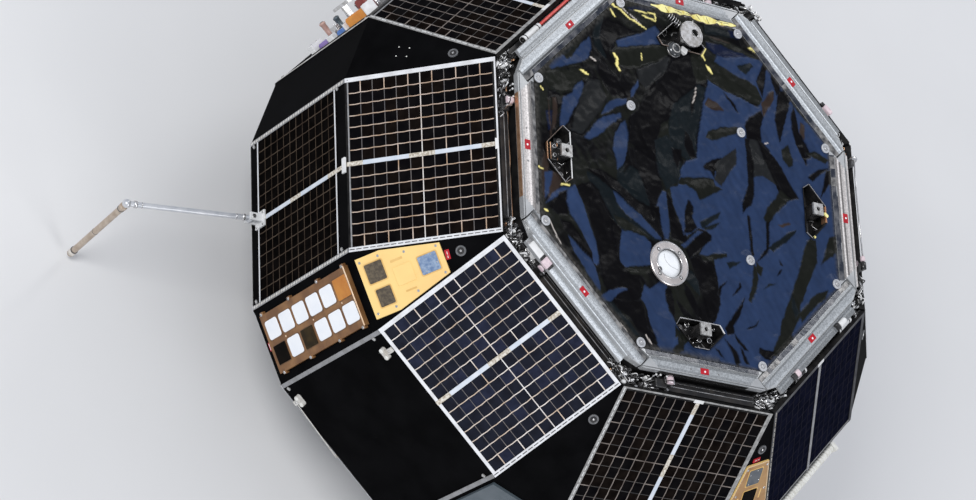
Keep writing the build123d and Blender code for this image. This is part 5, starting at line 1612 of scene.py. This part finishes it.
def opening_details():
    chance = random.Random(3)
    edges = Build("bright_metal", "copper_tape", "white_paint", "dull_metal", "black_edge", "rim_brown")
    parts = Build("bright_metal", "black_gloss", "groove_dark", "copper_tape", "white_paint", "cast_metal",
                  "dull_metal", "foil_gold", "smoked")
    for index, rims in enumerate(opening_rims):
        place = level_frame(index * 90, deck_face)
        opening_edges(edges, place, rims)
        for t in (-31, 31):
            spot = shifted(place, 268, t, opening_floor)
            parts.ring(spot, 2.6, 5.4, 0, 1.4, 6, 20, 0.3)
            parts.lathe(spot, [(2.4, 0), (2.4, 1.8), (1.4, 2.6)], 6, 12)
        parts.screws(place, ((270, -18), (270, 18)), opening_floor, 2.2, 1.4, 6, 2)
        parts.screws(place, ((294, -14), (294, 14)), opening_floor - 6, 2.2, 1.4, 6, 2)
        parts.ring(shifted(place, post_radius, 0, post_top - deck_top), 4.2, 6.2, 0, 0.5, 5, 20, 0.2)
        for _ in range(9):
            t = chance.uniform(-26, 26)
            r = chance.uniform(280, 300)
            bend = (r + chance.uniform(-6, 5), t + chance.uniform(-8, 8), -6)
            path = smooth_path([(r, t, -14), bend, (r - 8, t * 0.7, -12)])
            parts.tube(place, path, chance.uniform(0.6, 1.1), chance.choice((2, 2, 6, 6, 0)), 6)
    place = level_frame(180, deck_face)
    # dark box with copper edges, two wound studs and a ring beside the post of side 5
    parts.prism(place, rounded((283.5, 299.0), (-18, 13), 1.5), -15, 5.6, 1, 0.6)
    for edge in (283.7, 297.4):
        parts.box(place, (edge, edge + 1.4), (-18, 13), (5.6, 6.4), 3)
    for t in (-11, 5):
        stud = shifted(place, 291, t, 5.6)
        parts.coil(stud, 3.4, 0.8, 2.6, 3, 0)
        parts.lathe(stud, [(2.4, 0), (2.4, 2.4), (1.2, 3.2)], 1, 12)
    parts.ring(shifted(place, 256, 27, -4), 2.4, 4.2, 0, 1.2, 0, 20, 0.3)
    parts.tube(place, [(283, 16, 3), (276, 20, 5), (268, 14, 5)], 0.8, 0, 8)
    for path in ([(252, -30, 4), (262, -22, 9), (270, -16, 6)], [(250, 34, 4), (262, 40, 7), (268, 48, 5)]):
        parts.tube(place, smooth_path(path, 5), 0.8, 6, 8)
    # copper strips and a folded gold end beside the post of side 1
    place = level_frame(0, deck_face)
    for r, y_range in ((274.5, (-4, 9)), (281.0, (-6, 18))):
        parts.box(place, (r - 1.0, r + 1.0), y_range, (-9, 4.0), 3, 0.3)
    fold = rounded((-5.5, 5.5), (-3.2, 3.2), 2.2, 3)
    parts.prism(turned(shifted(place, 307, -1, 9.0), -35), fold, 0, 2.4, 7, 1.0)
    parts.lathe(shifted(place, 277, -49, 8.6), [(2.6, 0), (2.4, 1.4), (0.8, 2.2)], 7, 10)
    # spring, round housing and white block beside the post of side 3
    place = Matrix.Translation((0, 0, deck_face))
    spring = frame_at((-24, 321, deck_face + 7.0), (0, 0, 1), (27, -17, 0))
    parts.coil(spring, 6.4, 1.1, 30.0, 6, 0)
    housing = shifted(place, -16, 255)
    parts.lathe(housing, [(14, 3), (14.5, 8), (13, 12), (9, 14.5), (3.5, 15.5)], 8, 24)
    parts.ring(housing, 7, 9.0, 14.2, 15.6, 5, 24, 0.3)
    parts.ring(housing, 13.6, 15.0, 4, 8.6, 6, 32, 0.4)
    for t in range(5):
        parts.tube(place, [(18 + t * 2.4, 300 + t * 3.4, 6), (22 + t * 2.2, 316 + t * 1.6, 9)], 0.9, 0, 6)
    parts.prism(turned(shifted(place, 4.5, 257), -25), pad(6.8, 5.5, 1.5), 2, 12.5, 4, 1.0)
    # bolt rings and thin rods beside the post of side 7
    for x, y, radius in ((-18, -262, 5.4), (7, -286, 5.0), (29, -284, 5.4), (40, -262, 3.4)):
        spot = shifted(place, x, y, -6)
        parts.ring(spot, radius - 1.6, radius, 0, 1.6, 0, 20, 0.3)
        parts.lathe(spot, [(1.8, 0), (1.8, 1.4), (0.8, 2.0)], 2, 10)
    for path in (
        ((-10, -276, -2), (16, -262, 4)),
        ((-4, -282, -2), (16, -264, 3)),
        ((2, -288, -3), (14, -268, 1)),
    ):
        parts.tube(place, path, 0.7, 0, 8)
    edges.piece("opening_edges")
    parts.piece("opening_fittings")


# Disc, window, buttons and studs
def disc_details():
    parts = Build("bright_metal", "groove_dark", "dull_metal")
    disc = shifted(level_frame(90, middle_z + edge_z + post_top + 3.0), post_radius + 6.0, -10.0)
    parts.screw(shifted(disc, -1.5, -13.5), 1.8, 1.6, 0, 1)
    parts.screw(shifted(disc, -4.5, -5.0), 1.5, 1.2, 0, 1)
    parts.ring(disc, 22.6, 24.6, 0, 0.5, 2, 48, 0.2)
    parts.piece("disc_details")


# Place of the window's screws, along both axes from its middle
window_screw = 22.6


def window_details():
    parts = Build("bright_metal", "groove_dark", "window_white", "cast_metal")
    top = Matrix.Translation((*window_place, deck_face + 10.0))
    for x, y in ((-1, 1), (1, 1), (-1, -1), (1, -1)):
        spot = shifted(top, x * window_screw, y * window_screw)
        parts.ring(spot, 2.4, 3.8, 0, 0.3, 1, 16, 0.1)
        parts.lathe(spot, [(2.5, 0), (2.3, 0.9), (1.2, 1.6)], 0, 14)
    parts.ring(top, window_inner + 0.4, window_inner + 2.0, 0, 0.4, 0, 64, 0.2)
    parts.ring(top, window_outer - 2.8, window_outer - 1.0, 0, 0.3, 0, 64, 0.15)
    parts.prism(shifted(top, -22.5, -14.0), polygon(4.6, 12), 0.02, 0.35, 1)
    # wall of the recess, darkened as painted shade, the glass and a fine line on it
    glass = Matrix.Translation((*window_place, deck_face + 5.0))
    parts.ring(glass, window_inner - 0.5, window_inner - 0.1, 0.3, 4.8, 1, 64, 0.1)
    line = [(-8, 17.4, 1.0), (-7.3, 9, 1.2), (-3.8, 2.8, 1.25), (5, -3.7, 1.25), (20.5, -7.8, 0.9)]
    parts.tube(glass, smooth_path(line, 6), 0.4, 3, 6)
    parts.lathe(glass, [(25.4, 0), (24.6, 0.5), (20, 0.9), (8, 1.2), (0.5, 1.25)], 2, 48)
    parts.piece("window_details")


# Distance of a corner panel's stud from the upper end of its slope
stud_from_end = 78.5


def button_details():
    parts = Build("button_white", "button_clear", "bright_metal", "dull_metal")
    for x, y in button_places():
        spot = Matrix.Translation((x, y, deck_face + blanket_thickness + 1.5))
        parts.ring(spot, 6.6, 9.2, -0.6, 0.5, 1, 32, 0.3)
        parts.ring(spot, 3.6, 4.9, 0, 0.4, 3, 24, 0.15)
        parts.lathe(spot, [(1.8, 0), (1.7, 0.8), (0.7, 1.4)], 2, 14)
        # white crescent on the same side of every button's rim, a painted highlight
        parts.prism(spot, arc(8.8, range(150, 281, 10)) + arc(7.0, range(280, 149, -10)), 0.5, 0.75, 0)
    parts.piece("button_details")
    parts = Build("stud_grey", "bright_metal", "black_gloss")
    for side in all_sides:
        spot = shifted(corner_slope_frame(side), 0, corner_slant - stud_from_end, 2.0)
        parts.ring(spot, 6.2, 9.2, -1.9, 0.5, 0, 32, 0.3)
        parts.lathe(spot, [(6.0, 0), (6.0, 0.1)], 2, 24)
        parts.lathe(spot, [(2.2, 0.1), (2.2, 0.9), (1.2, 1.5)], 1, 14)
    parts.piece("stud_details")


# Small parts on the black panels: studs, clips, white dots, red tags and the ends of the rod's clips
def panel_fittings():
    parts = Build("cast_metal", "bright_metal", "groove_dark", "red_paint", "tube_white")
    for side in all_sides:
        place = side_frame(side)
        for x, y in ((-151, 137), (-148, -146), (149, 140), (149, -146)):
            parts.prism(turned(shifted(place, x, y), 30), pad(3.6, 2.6, 1.4), 1.5, 4.2, 0, 0.8)
    place = corner_slope_frame(4)
    for x, y in ((-8, 77.5), (-7, 97.6), (12.4, 78.4), (12.2, 98.1)):
        parts.lathe(shifted(place, x, y), [(1.3, 0), (1.3, 0.5), (0.6, 0.8)], 4, 12)
    for side, x, y, turn in ((5, -3, 158, 84), (7, -5, 160, 94)):
        spot = turned(shifted(corner_slope_frame(side), x, y), turn)
        parts.prism(spot, pad(4.2, 8.5, 0.8), 0, 1.2, 3, 0.3)
        for y_range in ((-6, -2), (0, 5)):
            parts.box(spot, (-0.5, 0.7), y_range, (1.2, 1.4), 4)
    place = side_frame(6)
    x = 41.0 - half_width
    for up in (1, -1):
        for end in (-7.0, 7.0):
            lobe = shifted(place, x + end, up * 139.0, 8.0)
            parts.lathe(lobe, [(4.4, 0), (4.0, 1.2), (2.6, 2.2), (0.8, 2.6)], 4, 18)
        parts.screw(shifted(place, x, up * 152.0, 5.0), 2.0, 1.2, 1, 2)
    spots = [(x, y) for x in (-97.5, 97.5) for y in (136.5, 150.5)]
    parts.screws(side_frame(8), spots, 22.5, 1.8, 1.0, 1, 2)
    parts.piece("panel_fittings")


# Collars and screws of the antennas
# Share of the way along the rod, radius, length and finish of each collar
arm_collars = ((0.06, 6.2, 5.0, 0), (0.12, 5.6, 2.0, 0), (0.88, 5.6, 2.0, 0), (0.93, 6.6, 6.0, 0))
whip_collars = (
    (0.06, 7.4, 9.0, 2),
    (0.10, 7.0, 2.0, 1),
    (0.55, 6.4, 1.6, 1),
    (0.93, 7.3, 2.0, 1),
    (0.965, 7.2, 12.0, 0),
)
hinge_reach = 22.5
arm_reach = 246.5
arm_fall = 45.0
whip_return = 23.5
whip_fall = 258.0


def collar(build, base, start, end, share, radius, length, finish):
    """Round collar on a rod between two points."""
    step = (end - start).normalized()
    spot = start + (end - start) * share - step * length / 2
    spot = frame_at(base @ spot, (base.to_3x3() @ step).orthogonal(), base.to_3x3() @ step)
    profile = [(radius - 0.6, 0), (radius, 0.5), (radius, length - 0.5), (radius - 0.6, length)]
    build.loft(spot, turned_rings(profile, 20), finish, True)


def antenna_details():
    hinge = Vector((side_apothem + hinge_reach, 0, hinge_z))
    elbow = Vector((side_apothem + arm_reach, 0, hinge_z - arm_fall))
    tip = elbow - Vector((whip_return, 0, whip_fall))
    for side in odd_sides:
        parts = Build("bright_metal", "groove_dark")
        spots = [(x, hinge_z + y) for x in (-11.5, 11.5) for y in (-11, 11)]
        parts.screws(side_frame(side), spots, 4.5, 2.2, 1.4, 0, 1)
        pin = level_frame(azimuth_of(side), middle_z + hinge_z)
        for place in (pin, upside_down(pin)):
            parts.prism(shifted(place, hinge.x, 0), polygon(4.4, 6), 11.5, 13.5, 0, 0.5)
        parts.piece(f"root_{side}_screws")
        base = level_frame(azimuth_of(side), middle_z)
        arm = Build("bright_metal")
        for row in arm_collars:
            collar(arm, base, hinge, elbow, *row)
        arm.piece(f"arm_{side}_collars", f"antenna_{side}")
        whip = Build("whip_pale", "groove_dark", "whip_brown")
        for row in whip_collars:
            collar(whip, base, elbow, tip, *row)
        whip.piece(f"whip_{side}_collars", f"antenna_{side}")


# Bolts and grooves of the separation ring
ring_bolts = 36
bolt_circle = 242.5


def ring_details():
    bolts = Build("bright_metal", "ring_metal")
    for index in range(ring_bolts):
        azimuth = (index + 0.5) * 360 / ring_bolts
        place = shifted(level_frame(azimuth, flange_thickness), bolt_circle, 0)
        bolts.prism(place, polygon(3.6, 6), 0, 3.2, 0, 0.5)
        bolts.ring(place, 3.8, 5.6, 0, 0.8, 1, 16, 0.2)
    base = level_frame(0, 0)
    for z in (14.0, 60.0, 68.0):
        bolts.ring(base, 229.6, 231.2, z, z + 1.6, 1, 96, 0.3)
    bolts.piece("ring_bolts")


channel_parts()
drum_details()
corner_fittings()
opening_details()
disc_details()
window_details()
button_details()
panel_fittings()
antenna_details()
ring_details()

# Camera at the photograph's viewing angle
lens = bpy.data.cameras.new("camera")
lens.lens = lens_length
lens.sensor_width = sensor_width
lens.clip_start = 0.1
lens.clip_end = 100.0
camera = bpy.data.objects.new("camera", lens)
turn = Matrix((camera_right, -camera_down, -camera_forward)).transposed().to_4x4()
camera.matrix_world = Matrix.Translation(camera_place) @ turn
bpy.context.scene.collection.objects.link(camera)
bpy.context.scene.camera = camera

# Floor, room light and lamps
floor_mesh = bpy.data.meshes.new("floor")
floor_mesh.from_pydata([(-20, -20, 0), (20, -20, 0), (20, 20, 0), (-20, 20, 0)], [], [(0, 1, 2, 3)])
pale_floor = finish_of("floor_pale", (0.74, 0.74, 0.74), (0.77, 0.77, 0.77), 0.8, 1.5, shine=0.1)
floor_mesh.materials.append(pale_floor)
floor = bpy.data.objects.new("floor", floor_mesh)
bpy.context.scene.collection.objects.link(floor)

world = bpy.data.worlds.new("room")
world.use_nodes = True
world.node_tree.nodes["Background"].inputs["Color"].default_value = (0.86, 0.90, 1.0, 1)
world.node_tree.nodes["Background"].inputs["Strength"].default_value = 0.55
bpy.context.scene.world = world


def lamp(name, place, target, size, watts):
    data = bpy.data.lights.new(name, "AREA")
    data.shape = "DISK"
    data.size = size
    data.energy = watts
    made = bpy.data.objects.new(name, data)
    made.location = place
    made.rotation_mode = "QUATERNION"
    made.rotation_quaternion = (Vector(target) - Vector(place)).to_track_quat("-Z", "Y")
    bpy.context.scene.collection.objects.link(made)


lamp("key", (-3.6, -0.6, 4.6), (0, 0, 0.6), 1.8, 150)
lamp("fill", (1.5, -4.5, 3.2), (0, 0, 0.5), 2.5, 70)
lamp("rim", (2.5, 3.5, 4.0), (0, 0, 0.6), 2.0, 60)

bpy.context.scene.view_settings.view_transform = "Standard"
